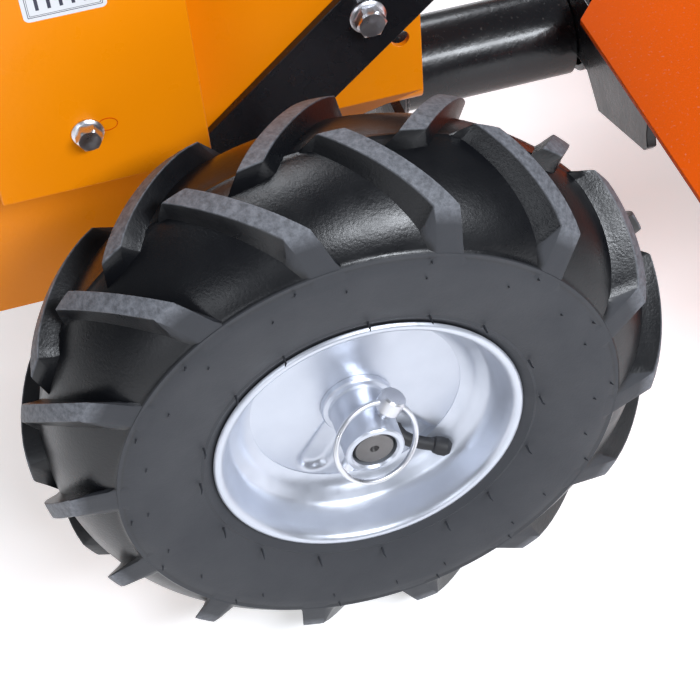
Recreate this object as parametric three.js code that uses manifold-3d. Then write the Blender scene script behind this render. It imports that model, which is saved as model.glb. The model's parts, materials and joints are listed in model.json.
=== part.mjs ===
// Walk-behind brush mower: a two-wheeled tractor that carries a rotary brush deck in front on a neck tube.
// Millimetres; X points forward, Y to the operator's left, Z up. Everything is placed about the wheel axle,
// then the whole machine is moved so that its origin is the middle of its footprint, on the ground.
import * as THREE from "three";
import { mergeVertices } from "three/addons/utils/BufferGeometryUtils.js";
import Module from "manifold-3d";

const wasm = await Module();
wasm.setup();

// ---------- driving dimensions ----------

const GAP = 0.3; // left between pieces that touch
const AXLE_HEIGHT = 186;
const AXLE_RADIUS = 12.5;
const WHEEL_SIDES = 24; // tyre and rim share one count, so that the bead fits the seat
const HALF_TRACK = 275; // machine centre line to the middle plane of a wheel

const TYRE = { crown: 175.5, wide: 132, halfWidth: 54.4, bead: 86, wall: 8, roundness: 1.8 };
const LUG = { perSide: 14, height: 10.5, root: 5, width: 20, phase: 19, taper: 0.82 };
const RIM = { flange: 89, halfWidth: 47, sheet: 3, discDepth: 32, discRadius: 66 };
const HUB = { outer: 17, outerEnd: 54, innerEnd: -32, pinFromEnd: 13, collar: 21 };
const PIN = { radius: 4, angle: 58, head: 26, tail: 30, headRadius: 7.5 };
const PIN_RING = { radius: 24.5, wire: 1.6, tilt: 22 };
const VALVE_ANGLE = -51;

const PLATE = { y: 122, sheet: 4, rear: -260, front: 95, top: 430, belly: 164, step: 251 };
const PLATFORM = { sheet: 4, rear: -250, front: 180 };
const NECK = { outer: 31.75, inner: 27.5, height: 183, rear: 96, front: 235.5 };
const BELT_GUARD = { rear: -164, front: -44, bottom: 285, top: 610, depth: 46, sheet: 2 };
const SHAFT_LINE = { x: -104, crank: 546, input: 352 }; // crankshaft and gearbox input, one above the other
const PULLEY = { crank: 40, input: 48, width: 18, y: -151 };
const GEAR = { small: 26, idler: 54, width: 12, x: 35, clearance: 1.2 };
const BRACE = { slope: 39.9, low: -25, high: 21, thick: 6, x: 61.8, z: 326.9, rear: -135, front: 125 };
const BRACE_HOLES = [0, 108];

const DECK = { rear: 223, wallRear: 350, front: 900, half: 290, top: 236, sheet: 4, skirt: 45 };
const SPINDLE_X = 625;
const BLADE_HEIGHT = 78;
const KNIFE = { pivot: 150, reach: 105, thick: 6 };

const BAR = { radius: 14, pivotX: -214, pivotZ: 470 };

const COLOUR = { panel: 0xee9412, deck: 0xd25000, black: 0x141519, steel: 0xc3c9d2, zinc: 0xaab0b8 };
const paint = (color) => new THREE.MeshStandardMaterial({ color, roughness: 0.35, metalness: 0.1 });
const metal = (color, roughness) => new THREE.MeshStandardMaterial({ color, roughness, metalness: 0.9 });
const orange = paint(COLOUR.panel);
const deckOrange = paint(COLOUR.deck);
const blackPaint = paint(COLOUR.black);
const silver = metal(COLOUR.steel, 0.35);
const zinc = metal(COLOUR.zinc, 0.4);
const castMetal = metal(0x9a9da1, 0.6);
const rubber = new THREE.MeshStandardMaterial({ color: 0x222225, roughness: 0.85 });
const plastic = new THREE.MeshStandardMaterial({ color: 0x1b1c1f, roughness: 0.55 });

// ---------- joining and cutting ----------

function toSolid(geometry) {
  const bare = geometry.clone();
  for (const name of Object.keys(bare.attributes)) if (name !== "position") bare.deleteAttribute(name);
  const merged = mergeVertices(bare, 1e-4);
  const vertProperties = new Float32Array(merged.attributes.position.array);
  const triVerts = new Uint32Array(merged.index.array);
  return new wasm.Manifold(new wasm.Mesh({ numProp: 3, vertProperties, triVerts }));
}

function toGeometry(solid) {
  const mesh = solid.getMesh();
  const geometry = new THREE.BufferGeometry();
  geometry.setAttribute("position", new THREE.BufferAttribute(mesh.vertProperties, mesh.numProp));
  geometry.setIndex(new THREE.BufferAttribute(mesh.triVerts, 1));
  geometry.computeVertexNormals();
  return geometry;
}

function join(...geometries) {
  return toGeometry(geometries.map(toSolid).reduce((whole, next) => whole.add(next)));
}

function cut(geometry, ...tools) {
  return toGeometry(tools.map(toSolid).reduce((rest, tool) => rest.subtract(tool), toSolid(geometry)));
}

// ---------- shapes ----------

const AXIS_TURN = {
  x: (g) => g.rotateZ(-Math.PI / 2),
  y: (g) => g,
  z: (g) => g.rotateX(Math.PI / 2),
};

// A box between two opposite corners.
function block([x0, x1], [y0, y1], [z0, z1]) {
  const box = new THREE.BoxGeometry(x1 - x0, y1 - y0, z1 - z0);
  return box.translate((x0 + x1) / 2, (y0 + y1) / 2, (z0 + z1) / 2);
}

// A round bar centred on a point, along one axis.
function rod(axis, radius, length, [x, y, z] = [0, 0, 0], sides = 16) {
  return AXIS_TURN[axis](new THREE.CylinderGeometry(radius, radius, length, sides)).translate(x, y, z);
}

function tube(axis, outer, inner, length, centre = [0, 0, 0], sides = 20) {
  return cut(rod(axis, outer, length, centre, sides), rod(axis, inner, length + 2, centre, sides));
}

// A turned piece: a closed profile of [radius, distance along the axis], or one that starts and ends on it.
function turned(axis, profile, sides = 24) {
  const points = profile.map(([radius, along]) => new THREE.Vector2(Math.max(radius, 0), along));
  return AXIS_TURN[axis](new THREE.LatheGeometry(points, sides));
}

// Sheet metal cut to an outline and given a thickness; the name says the plane of the outline.
function outlined(points, depth) {
  const shape = new THREE.Shape(points.map(([u, v]) => new THREE.Vector2(u, v)));
  return new THREE.ExtrudeGeometry(shape, { depth, bevelEnabled: false });
}

function plateXZ(points, yLow, yHigh) {
  return outlined(points, yHigh - yLow).rotateX(Math.PI / 2).translate(0, yHigh, 0);
}

function plateYZ(points, xLow, xHigh) {
  const axes = new THREE.Matrix4().makeBasis(
    new THREE.Vector3(0, 1, 0),
    new THREE.Vector3(0, 0, 1),
    new THREE.Vector3(1, 0, 0),
  );
  return outlined(points, xHigh - xLow).applyMatrix4(axes).translate(xLow, 0, 0);
}

function plateXY(points, zLow, zHigh) {
  return outlined(points, zHigh - zLow).translate(0, 0, zLow);
}

// A round bar or tube bent along a smooth line.
function bent(points, radius, steps = 12, sides = 10) {
  const path = new THREE.CatmullRomCurve3(points.map((p) => new THREE.Vector3(...p)));
  const section = new THREE.Shape();
  for (let i = 0; i < sides; i++) {
    const turn = (i / sides) * 2 * Math.PI;
    const place = [radius * Math.cos(turn), radius * Math.sin(turn)];
    if (i === 0) section.moveTo(...place);
    else section.lineTo(...place);
  }
  return new THREE.ExtrudeGeometry(section, { steps, extrudePath: path, bevelEnabled: false });
}

// A spur gear about X, Y or Z. Its teeth stop just short of the pitch circle, so that a pair runs free.
function gear(axis, pitchRadius, width, teeth) {
  const tip = pitchRadius - GEAR.clearance / 2;
  const root = pitchRadius - 4;
  const outline = [];
  for (let i = 0; i < teeth; i++) {
    const steps = [[root, 0], [tip, 0.22], [tip, 0.48], [root, 0.7]];
    for (const [radius, part] of steps) {
      const turn = ((i + part) / teeth) * 2 * Math.PI;
      outline.push([radius * Math.cos(turn), radius * Math.sin(turn)]);
    }
  }
  const wheel = outlined(outline, width).translate(0, 0, -width / 2);
  if (axis === "x") wheel.rotateY(Math.PI / 2);
  if (axis === "y") wheel.rotateX(Math.PI / 2);
  return wheel;
}

// A bevel gear blank: a cone with a face of `reach` radius whose small end points along +axis.
function bevel(axis, reach, direction) {
  const far = direction * reach * 0.42;
  const profile = [[0, 0], [reach, 0], [reach * 0.62, far], [0, far]];
  return turned(axis, direction > 0 ? profile : profile.reverse(), 18);
}

// ---------- the scene graph ----------

const machine = new THREE.Group();

function piece(name, geometry, material, place = [0, 0, 0], holder = machine) {
  const mesh = new THREE.Mesh(geometry, material);
  mesh.name = name;
  mesh.position.set(...place);
  holder.add(mesh);
  return mesh;
}

// ---------- wheels ----------

// Radius of the tyre's outer surface at a distance from its middle plane.
function tyreRadius(across) {
  const part = Math.min(Math.abs(across) / TYRE.halfWidth, 1);
  const rise = Math.pow(1 - Math.pow(part, TYRE.roundness), 1 / TYRE.roundness);
  return TYRE.wide + (TYRE.crown - TYRE.wide) * rise;
}

function tyreCarcass() {
  const outside = [];
  const beadHalf = 42;
  outside.push([TYRE.bead, -beadHalf], [TYRE.bead + 16, -beadHalf - 8]);
  const steps = 4;
  for (let i = 0; i <= steps; i++) {
    const across = -TYRE.halfWidth * Math.cos((i / steps) * Math.PI);
    outside.push([tyreRadius(across), across]);
  }
  outside.push([TYRE.bead + 16, beadHalf + 8], [TYRE.bead, beadHalf]);
  const inside = [
    [TYRE.bead, beadHalf - 14],
    [TYRE.wide, TYRE.halfWidth - TYRE.wall],
    [TYRE.crown - TYRE.wall - 4, 0],
    [TYRE.wide, TYRE.wall - TYRE.halfWidth],
    [TYRE.bead, 14 - beadHalf],
  ];
  return turned("y", [...outside, ...inside, outside[0]], WHEEL_SIDES);
}

// One tread bar: it starts just past the middle of the tyre and sweeps outwards and round to the shoulder.
// `side` is 1 or -1 across the tyre; a bar's turn is the angle of its shoulder end.
function treadLug(side, turn) {
  const stations = [[0, 22.5], [46, 6], [53, 0]];
  const box = new THREE.BoxGeometry(1, 1, 1, stations.length - 1, 1, 1);
  const place = box.attributes.position;
  for (let i = 0; i < place.count; i++) {
    const along = Math.round((place.getX(i) + 0.5) * (stations.length - 1));
    const [across, lead] = stations[along];
    const crosswise = place.getY(i);
    const top = place.getZ(i) > 0;
    const last = along === stations.length - 1;
    const surface = last ? TYRE.wide + 10 : tyreRadius(across);
    const radius = top ? surface + LUG.height * (last ? 0.45 : 1) : surface - LUG.root;
    const halfWidth = crosswise * LUG.width * (top ? LUG.taper : 1);
    const angle = ((turn + lead) * Math.PI) / 180 + halfWidth / radius;
    place.setXYZ(i, radius * Math.cos(angle), side * across, radius * Math.sin(angle));
  }
  const solid = toSolid(box);
  return solid.volume() > 0 ? box : flipped(box);
}

// The same closed surface with its faces turned round.
function flipped(geometry) {
  const index = geometry.index.array;
  for (let i = 0; i < index.length; i += 3) [index[i + 1], index[i + 2]] = [index[i + 2], index[i + 1]];
  return geometry;
}

function tyre() {
  const pitch = 360 / LUG.perSide;
  const lugs = [];
  for (let i = 0; i < LUG.perSide; i++) {
    lugs.push(treadLug(-1, LUG.phase + i * pitch), treadLug(1, LUG.phase + (i + 0.5) * pitch));
  }
  return join(tyreCarcass(), ...lugs);
}

// Pressed rim; the outer face is towards -Y.
function rim() {
  const { flange, halfWidth, sheet, discDepth, discRadius } = RIM;
  const outer = -halfWidth;
  const disc = outer + discDepth;
  const seat = TYRE.bead - GAP;
  const profile = [
    [HUB.outer + GAP, disc], [discRadius, disc - 1], [74, outer + 20], [seat - sheet - 2, outer + 5],
    [flange - 4, outer + sheet - 1], [flange, outer], [flange, outer + 2], [seat, outer + 4.5],
    [seat - 2, 0], [seat, -outer - 4.5], [flange, -outer - 2], [flange, -outer], [seat - sheet, -outer],
    [seat - sheet - 2, -outer - 8], [seat - sheet - 6, 4], [discRadius + 4, disc + sheet],
    [HUB.outer + GAP, disc + sheet],
  ];
  return turned("y", [...profile, profile[0]], WHEEL_SIDES);
}

function wheel(side, name) {
  const group = new THREE.Group();
  group.position.set(0, side * HALF_TRACK, AXLE_HEIGHT);
  machine.add(group);
  piece("tyre_" + name, tyre(), rubber, [0, 0, 0], group);

  // Everything but the tyre has an outer and an inner face, so the left one is turned half round.
  const inner = new THREE.Group();
  inner.rotation.z = side < 0 ? 0 : Math.PI;
  group.add(inner);
  piece("rim_" + name, rim(), silver, [0, 0, 0], inner);

  const hubLength = HUB.outerEnd - HUB.innerEnd;
  const hubMiddle = -(HUB.outerEnd + HUB.innerEnd) / 2;
  const pinY = -(HUB.outerEnd - HUB.pinFromEnd);
  const collar = [
    [10, -24], [HUB.outer, -25], [HUB.collar, -19], [HUB.collar, -15.5], [10, -15.5], [10, -24],
  ];
  const hubTube = cut(
    join(
      rod("y", HUB.outer, hubLength, [0, hubMiddle, 0], 20),
      turned("y", collar, 20),
    ),
    rod("y", AXLE_RADIUS + GAP, hubLength + 20, [0, hubMiddle, 0], 20),
    crossHole(pinY, 60),
  );
  piece("hub_" + name, hubTube, silver, [0, 0, 0], inner);

  // The pin crosses the hub; its spring ring is threaded through the head and rests over the hub's end.
  const pinHolder = new THREE.Group();
  pinHolder.position.set(0, pinY, 0);
  pinHolder.rotation.y = (-PIN.angle * Math.PI) / 180;
  inner.add(pinHolder);
  const shank = rod("x", PIN.radius, PIN.head + PIN.tail, [(PIN.head - PIN.tail) / 2, 0, 0], 10);
  const head = rod("x", PIN.headRadius, 10, [PIN.head, 0, 0], 14);
  const ringHole = rod("z", PIN_RING.wire + 1.6, 30, [PIN.head, 0, 0], 10);
  piece("linch_pin_" + name, cut(join(shank, head), ringHole), zinc, [0, 0, 0], pinHolder);
  const ring = new THREE.TorusGeometry(PIN_RING.radius, PIN_RING.wire, 5, 20).rotateX(Math.PI / 2);
  ring.translate(-PIN_RING.radius, 0, 0);
  const ringMesh = piece("linch_ring_" + name, ring, silver, [PIN.head, 0, 0], pinHolder);
  ringMesh.rotation.z = (PIN_RING.tilt * Math.PI) / 180;

  const turn = (VALVE_ANGLE * Math.PI) / 180;
  const valve = join(rod("y", 3.6, 26, [0, 0, 0], 10), rod("y", 5, 12, [0, -8, 0], 10));
  const valvePlace = [52 * Math.cos(turn), -RIM.halfWidth + RIM.discDepth - 15, 52 * Math.sin(turn)];
  piece("valve_" + name, valve, rubber, valvePlace, inner);
}

function crossHole(y, length) {
  return rod("x", PIN.radius + GAP, length, [0, y, 0], 10).rotateY((-PIN.angle * Math.PI) / 180);
}

for (const [side, name] of [[-1, "right"], [1, "left"]]) wheel(side, name);

// ---------- tractor frame ----------

const plateOuter = PLATE.y + PLATE.sheet;
for (const [side, name] of [[-1, "right"], [1, "left"]]) {
  const low = side < 0 ? -plateOuter : PLATE.y;
  const high = low + PLATE.sheet;
  const outline = [
    [PLATE.rear, PLATE.belly], [-60, PLATE.belly], [-60, 130], [36, 130], [36, PLATE.step],
    [PLATE.front, PLATE.step], [PLATE.front, PLATE.top], [PLATE.rear, PLATE.top],
  ];
  // The front of the plate is folded inwards along its lower edge.
  const lipIn = side < 0 ? [-plateOuter, -PLATE.y + 22] : [PLATE.y - 22, plateOuter];
  const lip = block([36, PLATE.front], lipIn, [PLATE.step - 8, PLATE.step + 0.5]);
  const axleHole = rod("y", AXLE_RADIUS + 8, 20, [0, low + 2, AXLE_HEIGHT], 20);
  const shaftHole = rod("y", 16, 20, [SHAFT_LINE.x, low + 2, SHAFT_LINE.input], 16);
  const spareHole = rod("y", 5.5, 20, [82, low + 2, 301.5], 20);
  const boltHole = rod("y", 5.4, 20, [BRACE.x, low + 2, BRACE.z], 12);
  const sheet = join(plateXZ(outline, low, high), lip);
  piece("side_plate_" + name, cut(sheet, axleHole, shaftHole, spareHole, boltHole), orange);
}

const between = PLATE.y - GAP;
const platformTop = PLATE.top + PLATFORM.sheet;
piece(
  "engine_platform",
  join(
    block([PLATFORM.rear, PLATFORM.front], [-plateOuter, plateOuter], [PLATE.top + GAP, platformTop]),
    block([PLATFORM.rear, PLATFORM.rear + 5], [-between, between], [180, PLATE.top + 1]),
    block([PLATE.front + 10, PLATFORM.front], [-plateOuter, -PLATE.y], [385, PLATE.top + 1]),
    block([PLATE.front + 10, PLATFORM.front], [PLATE.y, plateOuter], [385, PLATE.top + 1]),
  ),
  orange,
);

// Front plate with the neck tube welded into it; the deck's bracket turns on the tube's front end.
const neckX = [NECK.rear, NECK.front];
piece(
  "neck_tube",
  cut(
    join(
      rod("x", NECK.outer, neckX[1] - neckX[0] + 20, [(neckX[0] + neckX[1]) / 2 - 10, 0, NECK.height], 20),
      block([78, 84], [-between, between], [130, PLATE.step - 9]),
      rod("x", NECK.outer + 7, 12, [102, 0, NECK.height], 20),
    ),
    rod("x", NECK.inner, 240, [170, 0, NECK.height], 20),
  ),
  blackPaint,
);

// ---------- gearbox ----------

const caseY = 88;
const gearCase = cut(
  join(
    block([-150, 54], [-caseY, caseY], [290, 405]),
    block([-60, 54], [-70, 70], [135, 291]),
    rod("y", 34, 2 * caseY + 20, [SHAFT_LINE.x, 0, SHAFT_LINE.input], 16),
    rod("y", 38, 210, [0, 0, AXLE_HEIGHT], 16),
  ),
  block([-140, 50], [-caseY + 8, caseY - 8], [300, 395]),
  block([-50, 50], [-62, 62], [143, 301]),
  rod("y", 12, 260, [SHAFT_LINE.x, 0, SHAFT_LINE.input], 16),
  rod("y", AXLE_RADIUS + 1, 260, [0, 0, AXLE_HEIGHT], 20),
  rod("x", 10.6, 20, [53, 0, SHAFT_LINE.input], 16),
  rod("x", 10.6, 20, [53, 0, NECK.height], 16),
);
piece("gearbox_case", gearCase, castMetal);

// One through axle, with the worm wheel that drives it.
const axleEnd = HALF_TRACK + HUB.outerEnd - 2;
const pinY = HALF_TRACK + HUB.outerEnd - HUB.pinFromEnd;
const pinHole = (side) => {
  const turn = side < 0 ? -PIN.angle : PIN.angle;
  return rod("x", PIN.radius + GAP, 40, [0, side * pinY, 0], 10).rotateY((turn * Math.PI) / 180);
};
const axle = cut(
  join(rod("y", AXLE_RADIUS, 2 * axleEnd, [0, 0, 0], 20), gear("y", 24, 16, 14)),
  pinHole(-1),
  pinHole(1),
);
piece("drive_axle", axle, silver, [0, 0, AXLE_HEIGHT]);

// Input shaft across the machine, its bevel pinion turning the lengthwise shaft above the neck.
const bevelReach = 24;
const bevelOffset = 26;
piece(
  "input_shaft",
  join(
    rod("y", 10, 170, [0, -75, 0], 14),
    pulley(PULLEY.input, 8).translate(0, PULLEY.y, 0),
    bevel("y", bevelReach, 1).translate(0, -bevelOffset, 0),
  ),
  silver,
  [SHAFT_LINE.x, 0, SHAFT_LINE.input],
);
const lengthwiseStart = SHAFT_LINE.x + bevelOffset;
piece(
  "transfer_shaft",
  join(
    rod("x", 8, 138, [lengthwiseStart + 65, 0, 0], 14),
    bevel("x", bevelReach, -1).translate(lengthwiseStart, 0, 0),
    gear("x", GEAR.small, GEAR.width, 14).translate(GEAR.x, 0, 0),
  ),
  silver,
  [0, 0, SHAFT_LINE.input],
);
const idlerZ = SHAFT_LINE.input - GEAR.small - GEAR.idler;
const lowerRadius = idlerZ - GEAR.idler - NECK.height;
piece("idler_gear", cut(gear("x", GEAR.idler, GEAR.width, 18), rod("x", 8, 30)), silver, [GEAR.x, 0, idlerZ]);
piece(
  "pto_shaft",
  join(
    rod("x", 10, SPINDLE_X - 30 - 26, [(SPINDLE_X - 30 + 26) / 2, 0, 0], 14),
    gear("x", lowerRadius, GEAR.width, 18).translate(GEAR.x, 0, 0),
    bevel("x", 26, 1).translate(SPINDLE_X - 30, 0, 0),
  ),
  silver,
  [0, 0, NECK.height],
);

// ---------- belt drive under its guard ----------

// A grooved pulley; `radius` is that of the groove's bottom.
function pulley(radius, bore) {
  const half = PULLEY.width / 2;
  const profile = [
    [bore, -half], [radius + 5, -half], [radius + 5, -half + 2], [radius, -half + 3],
    [radius, half - 3], [radius + 5, half - 2], [radius + 5, half], [bore, half],
  ];
  return turned("y", [...profile, profile[0]], 20);
}

const crankStart = -78;
const crankLength = 88;
const crankMiddle = crankStart - crankLength / 2;
piece(
  "engine_pulley",
  join(pulley(PULLEY.crank, 8), rod("y", 10, crankLength, [0, crankMiddle - PULLEY.y, 0], 14)),
  castMetal,
  [SHAFT_LINE.x, PULLEY.y, SHAFT_LINE.crank],
);
// Outline of a loop round both pulleys, `extra` outside their groove bottoms.
function beltLoop(extra) {
  const lean = Math.asin((PULLEY.input - PULLEY.crank) / (SHAFT_LINE.crank - SHAFT_LINE.input));
  const arcs = [
    [PULLEY.crank + extra, SHAFT_LINE.crank, lean, Math.PI - lean],
    [PULLEY.input + extra, SHAFT_LINE.input, Math.PI - lean, 2 * Math.PI + lean],
  ];
  const points = [];
  const steps = 10;
  for (const [radius, z, from, to] of arcs) {
    for (let i = 0; i <= steps; i++) {
      const turn = from + ((to - from) * i) / steps;
      points.push([SHAFT_LINE.x + radius * Math.cos(turn), z + radius * Math.sin(turn)]);
    }
  }
  return points;
}
const beltY = [PULLEY.y - 5.5, PULLEY.y + 5.5];
const beltHollow = plateXZ(beltLoop(0.9), beltY[0] - 1, beltY[1] + 1);
piece("drive_belt", cut(plateXZ(beltLoop(5), ...beltY), beltHollow), rubber);

// Jockey arm: the drive clutch swings it so that its pulley tightens the belt from inside.
const ARM = { x: -118, z: 412, reachX: 24, reachZ: 40, y: -134 };
const armLean = Math.atan2(ARM.reachX, ARM.reachZ);
const armLength = Math.hypot(ARM.reachX, ARM.reachZ);
const armBar = block([-6, 6], [-3, 3], [0, armLength]);
const armBoss = rod("y", 8, 9, [0, 0, 0], 14);
const armPin = rod("y", 4, 22, [0, -8, armLength], 10);
const armHead = rod("y", 8, 6, [0, 0, armLength], 14);
piece(
  "tension_arm",
  join(armBar, armBoss, armPin, armHead).rotateY(armLean),
  zinc,
  [ARM.x, ARM.y, ARM.z],
);
const jockey = turned("y", [[4.4, -5], [15, -5], [15, 5], [4.4, 5], [4.4, -5]], 18);
piece("tension_pulley", jockey, castMetal, [ARM.x + ARM.reachX, PULLEY.y + 3, ARM.z + ARM.reachZ]);

const guard = BELT_GUARD;
const guardOuter = -plateOuter - GAP - guard.depth;
const guardWall = [-plateOuter - GAP, guardOuter];
piece(
  "belt_guard",
  cut(
    block([guard.rear, guard.front], [guardWall[1], guardWall[0]], [guard.bottom, guard.top]),
    block(
      [guard.rear + guard.sheet, guard.front - guard.sheet],
      [guardWall[1] + guard.sheet, guardWall[0] + 1],
      [guard.bottom + guard.sheet, guard.top - guard.sheet],
    ),
    rod("y", 4.5, 20, [-109, guardOuter, 322], 12),
  ),
  orange,
);

// A flanged hexagon bolt seen from -Y, its head's underside at y = 0.
function flangeBolt(flangeRadius, headRadius, headHeight, shankRadius, shankLength) {
  return join(
    rod("y", flangeRadius, 2, [0, -1 - GAP, 0], 20),
    rod("y", headRadius, headHeight, [0, -headHeight / 2 - 1.5, 0], 6),
    rod("y", shankRadius, shankLength + 1, [0, (shankLength - 1) / 2, 0], 10),
  );
}
piece("guard_bolt", flangeBolt(9, 7.5, 7, 4, 12), zinc, [-109, guardOuter, 322]);

// Flat bar that braces the front of the engine platform down to the side plate.
const braceY = -plateOuter - GAP - BRACE.thick / 2;
const braceTurn = (-BRACE.slope * Math.PI) / 180;
const braceHoles = BRACE_HOLES.map((x) => rod("y", 5.6, 20, [x, 0, 0], 14));
const braceHalf = BRACE.thick / 2;
const braceBar = block([BRACE.rear, BRACE.front], [-braceHalf, braceHalf], [BRACE.low, BRACE.high]);
const brace = cut(braceBar, ...braceHoles);
piece("platform_brace", brace.rotateY(braceTurn), blackPaint, [BRACE.x, braceY, BRACE.z]);
piece("brace_bolt", flangeBolt(10.9, 9, 8, 5, 9), zinc, [BRACE.x, braceY - BRACE.thick / 2, BRACE.z]);

// ---------- engine ----------

// A block with rounded upright corners.
function rounded([x0, x1], [y0, y1], [z0, z1], radius) {
  const [left, right, near, far] = [x0 + radius, x1 - radius, y0 + radius, y1 - radius];
  const centres = [[right, far], [left, far], [left, near], [right, near]];
  const points = [];
  const steps = 4;
  centres.forEach(([x, y], corner) => {
    for (let i = 0; i <= steps; i++) {
      const turn = (corner + i / steps) * (Math.PI / 2);
      points.push([x + radius * Math.cos(turn), y + radius * Math.sin(turn)]);
    }
  });
  return plateXY(points, z0, z1);
}

const engineBase = platformTop + GAP;
const tank = { low: 664, high: 750 };
const headLean = (65 * Math.PI) / 180;
const fins = [0, 1, 2, 3, 4, 5].map((i) => block([-62, 62], [-58, 58], [58 + i * 11, 62 + i * 11]));
const barrel = join(block([-44, 44], [-42, 42], [0, 128]), ...fins);
piece(
  "engine_block",
  join(
    rounded([-188, -20], [-76, 92], [engineBase, 628], 26),
    block([-205, 10], [-70, 86], [engineBase, engineBase + 14]),
    block([-160, -60], [-60, 80], [620, tank.low - GAP]),
    barrel.rotateY(headLean).translate(-60, 8, 556),
  ),
  castMetal,
);
piece(
  "fan_shroud",
  join(
    rod("y", 96, 46, [SHAFT_LINE.x, 92 + GAP + 23, SHAFT_LINE.crank + 4], 28),
    rod("y", 58, 20, [SHAFT_LINE.x, 92 + 52, SHAFT_LINE.crank + 4], 24),
  ),
  blackPaint,
);
piece("fuel_tank", rounded([-205, 20], [-92, 138], [tank.low, tank.high], 34), orange);
const capShape = join(rod("z", 27, 16, [0, 0, 8], 20), rod("z", 20, 6, [0, 0, 18], 12));
piece("fuel_cap", capShape, plastic, [-92, 22, tank.high + GAP]);
piece("muffler", rounded([24, 118], [-120, -50 - GAP], [606, 690], 20), castMetal);
piece("air_cleaner", rounded([26, 112], [66 + GAP, 146], [604, 700], 22), plastic);
const recoilGrip = join(rod("y", 8, 66, [0, 0, 0], 12), rod("x", 6, 18, [6, 0, 0], 10));
piece("recoil_handle", recoilGrip, plastic, [-190, 132, 620]);

// ---------- handlebars and controls ----------

const barStart = [BAR.pivotX, 0, BAR.pivotZ];
piece(
  "handlebar_mount",
  cut(
    join(
      block([BAR.pivotX - 30, BAR.pivotX + 8], [-100, 100], [engineBase, engineBase + 6]),
      block([BAR.pivotX - 24, BAR.pivotX + 8], [-100, -94], [engineBase + 5, BAR.pivotZ + 20]),
      block([BAR.pivotX - 24, BAR.pivotX + 8], [94, 100], [engineBase + 5, BAR.pivotZ + 20]),
    ),
    rod("y", 6.4, 240, [BAR.pivotX - 8, 0, BAR.pivotZ], 14),
  ),
  blackPaint,
);
piece(
  "handlebar_pivot",
  join(rod("y", BAR.radius, 186, [0, 0, 0], 16), rod("y", 6, 216, [0, 0, 0], 12)),
  blackPaint,
  [BAR.pivotX - 8, 0, BAR.pivotZ],
);
const grip = { length: 125, radius: 19 };
const gripSlope = Math.atan2(60, 200);
for (const [side, name] of [[-1, "right"], [1, "left"]]) {
  const line = [
    [-34, side * 66, 2], [-80, side * 92, 62], [-230, side * 205, 270],
    [-420, side * 250, 430], [-560, side * 250, 486], [-625, side * 250, 505.5], [-690, side * 250, 525],
  ];
  const holder = new THREE.Group();
  holder.position.set(...barStart);
  machine.add(holder);
  piece("handlebar_" + name, bent(line, BAR.radius, 13, 8), blackPaint, [0, 0, 0], holder);

  const sleeveBore = rod("x", BAR.radius + 2, grip.length - 4, [4.5, 0, 0], 14);
  const sleeve = cut(rod("x", grip.radius, grip.length, [0, 0, 0], 16), sleeveBore);
  const gripMesh = piece("grip_" + name, sleeve, rubber, [-641, side * 250, 510.4], holder);
  gripMesh.rotation.y = gripSlope;
}
piece(
  "handlebar_bridge",
  join(rod("y", 10, 474, [0, 0, 0], 12), block([-30, 30], [-104, -76], [5, 31])),
  blackPaint,
  [BAR.pivotX - 420, 0, BAR.pivotZ + 404],
);
for (const [side, name] of [[-1, "blade"], [1, "drive"]]) {
  const lever = join(
    block([-150, 4], [-5, 5], [-4, 4]),
    rod("y", 8, 16, [0, 0, 0], 12),
  ).rotateY(gripSlope - 0.42);
  piece(name + "_lever", lever, zinc, [BAR.pivotX - 555, side * 250, BAR.pivotZ + 460.8]);
}
piece(
  "throttle_lever",
  join(block([-4, 4], [-3, 3], [0, 52]), rod("y", 7, 8, [0, 0, 0], 12), rod("y", 7, 14, [0, 0, 52], 12)),
  plastic,
  [BAR.pivotX - 420, -90 + 14 + 4.4, BAR.pivotZ + 404 + 20.6],
);
piece(
  "gear_lever",
  join(
    bent([[0, 0, 0], [-60, 6, 110], [-190, 14, 300], [-260, 18, 384]], 6, 8, 8),
    rod("y", 10, 14, [0, 0, 0], 14),
    new THREE.SphereGeometry(17, 10, 6).translate(-262, 18, 388),
  ),
  blackPaint,
  [PLATFORM.rear - 10.4, 60, 380],
);

// ---------- brush deck ----------

const notch = { wide: 62, narrow: 42, deep: 17 };
const deckTop = [
  [DECK.rear, -DECK.half], [DECK.front - 60, -DECK.half], [DECK.front, -DECK.half + 60],
  [DECK.front, DECK.half - 60], [DECK.front - 60, DECK.half], [DECK.rear, DECK.half],
  [DECK.rear, notch.wide], [DECK.rear + notch.deep, notch.narrow],
  [DECK.rear + notch.deep, -notch.narrow], [DECK.rear, -notch.wide],
];
const deckWall = [
  [DECK.wallRear, DECK.top], [DECK.wallRear, 62], [DECK.wallRear + 30, DECK.skirt],
  [DECK.front - 90, DECK.skirt], [DECK.front - 60, 90], [DECK.front - 60, DECK.top],
];
const half = DECK.half;
piece(
  "deck_shell",
  cut(
    join(
      plateXY(deckTop, DECK.top - DECK.sheet, DECK.top),
      plateXZ(deckWall, -half, -half + DECK.sheet),
      plateXZ(deckWall, half - DECK.sheet, half),
      block([DECK.wallRear, DECK.wallRear + DECK.sheet], [-half, half], [62, DECK.top]),
    ),
    rod("x", NECK.outer + GAP, 20, [DECK.wallRear, 0, NECK.height], 20),
  ),
  deckOrange,
);
const wing = [
  [48, 180], [71, 162], [146, 186], [151, 192], [148, 200], [148, 231],
];
const wingOutline = [...wing, ...wing.map(([y, z]) => [-y, z]).reverse()];
piece(
  "deck_bracket",
  cut(
    plateYZ(wingOutline, NECK.front + GAP, NECK.front + 7),
    rod("x", 13, 40, [NECK.front, 0, NECK.height], 20),
  ),
  blackPaint,
);
piece(
  "deck_tube",
  tube("x", NECK.outer, NECK.inner, 322, [NECK.front + 7 + GAP + 161, 0, NECK.height], 20),
  blackPaint,
);
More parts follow.
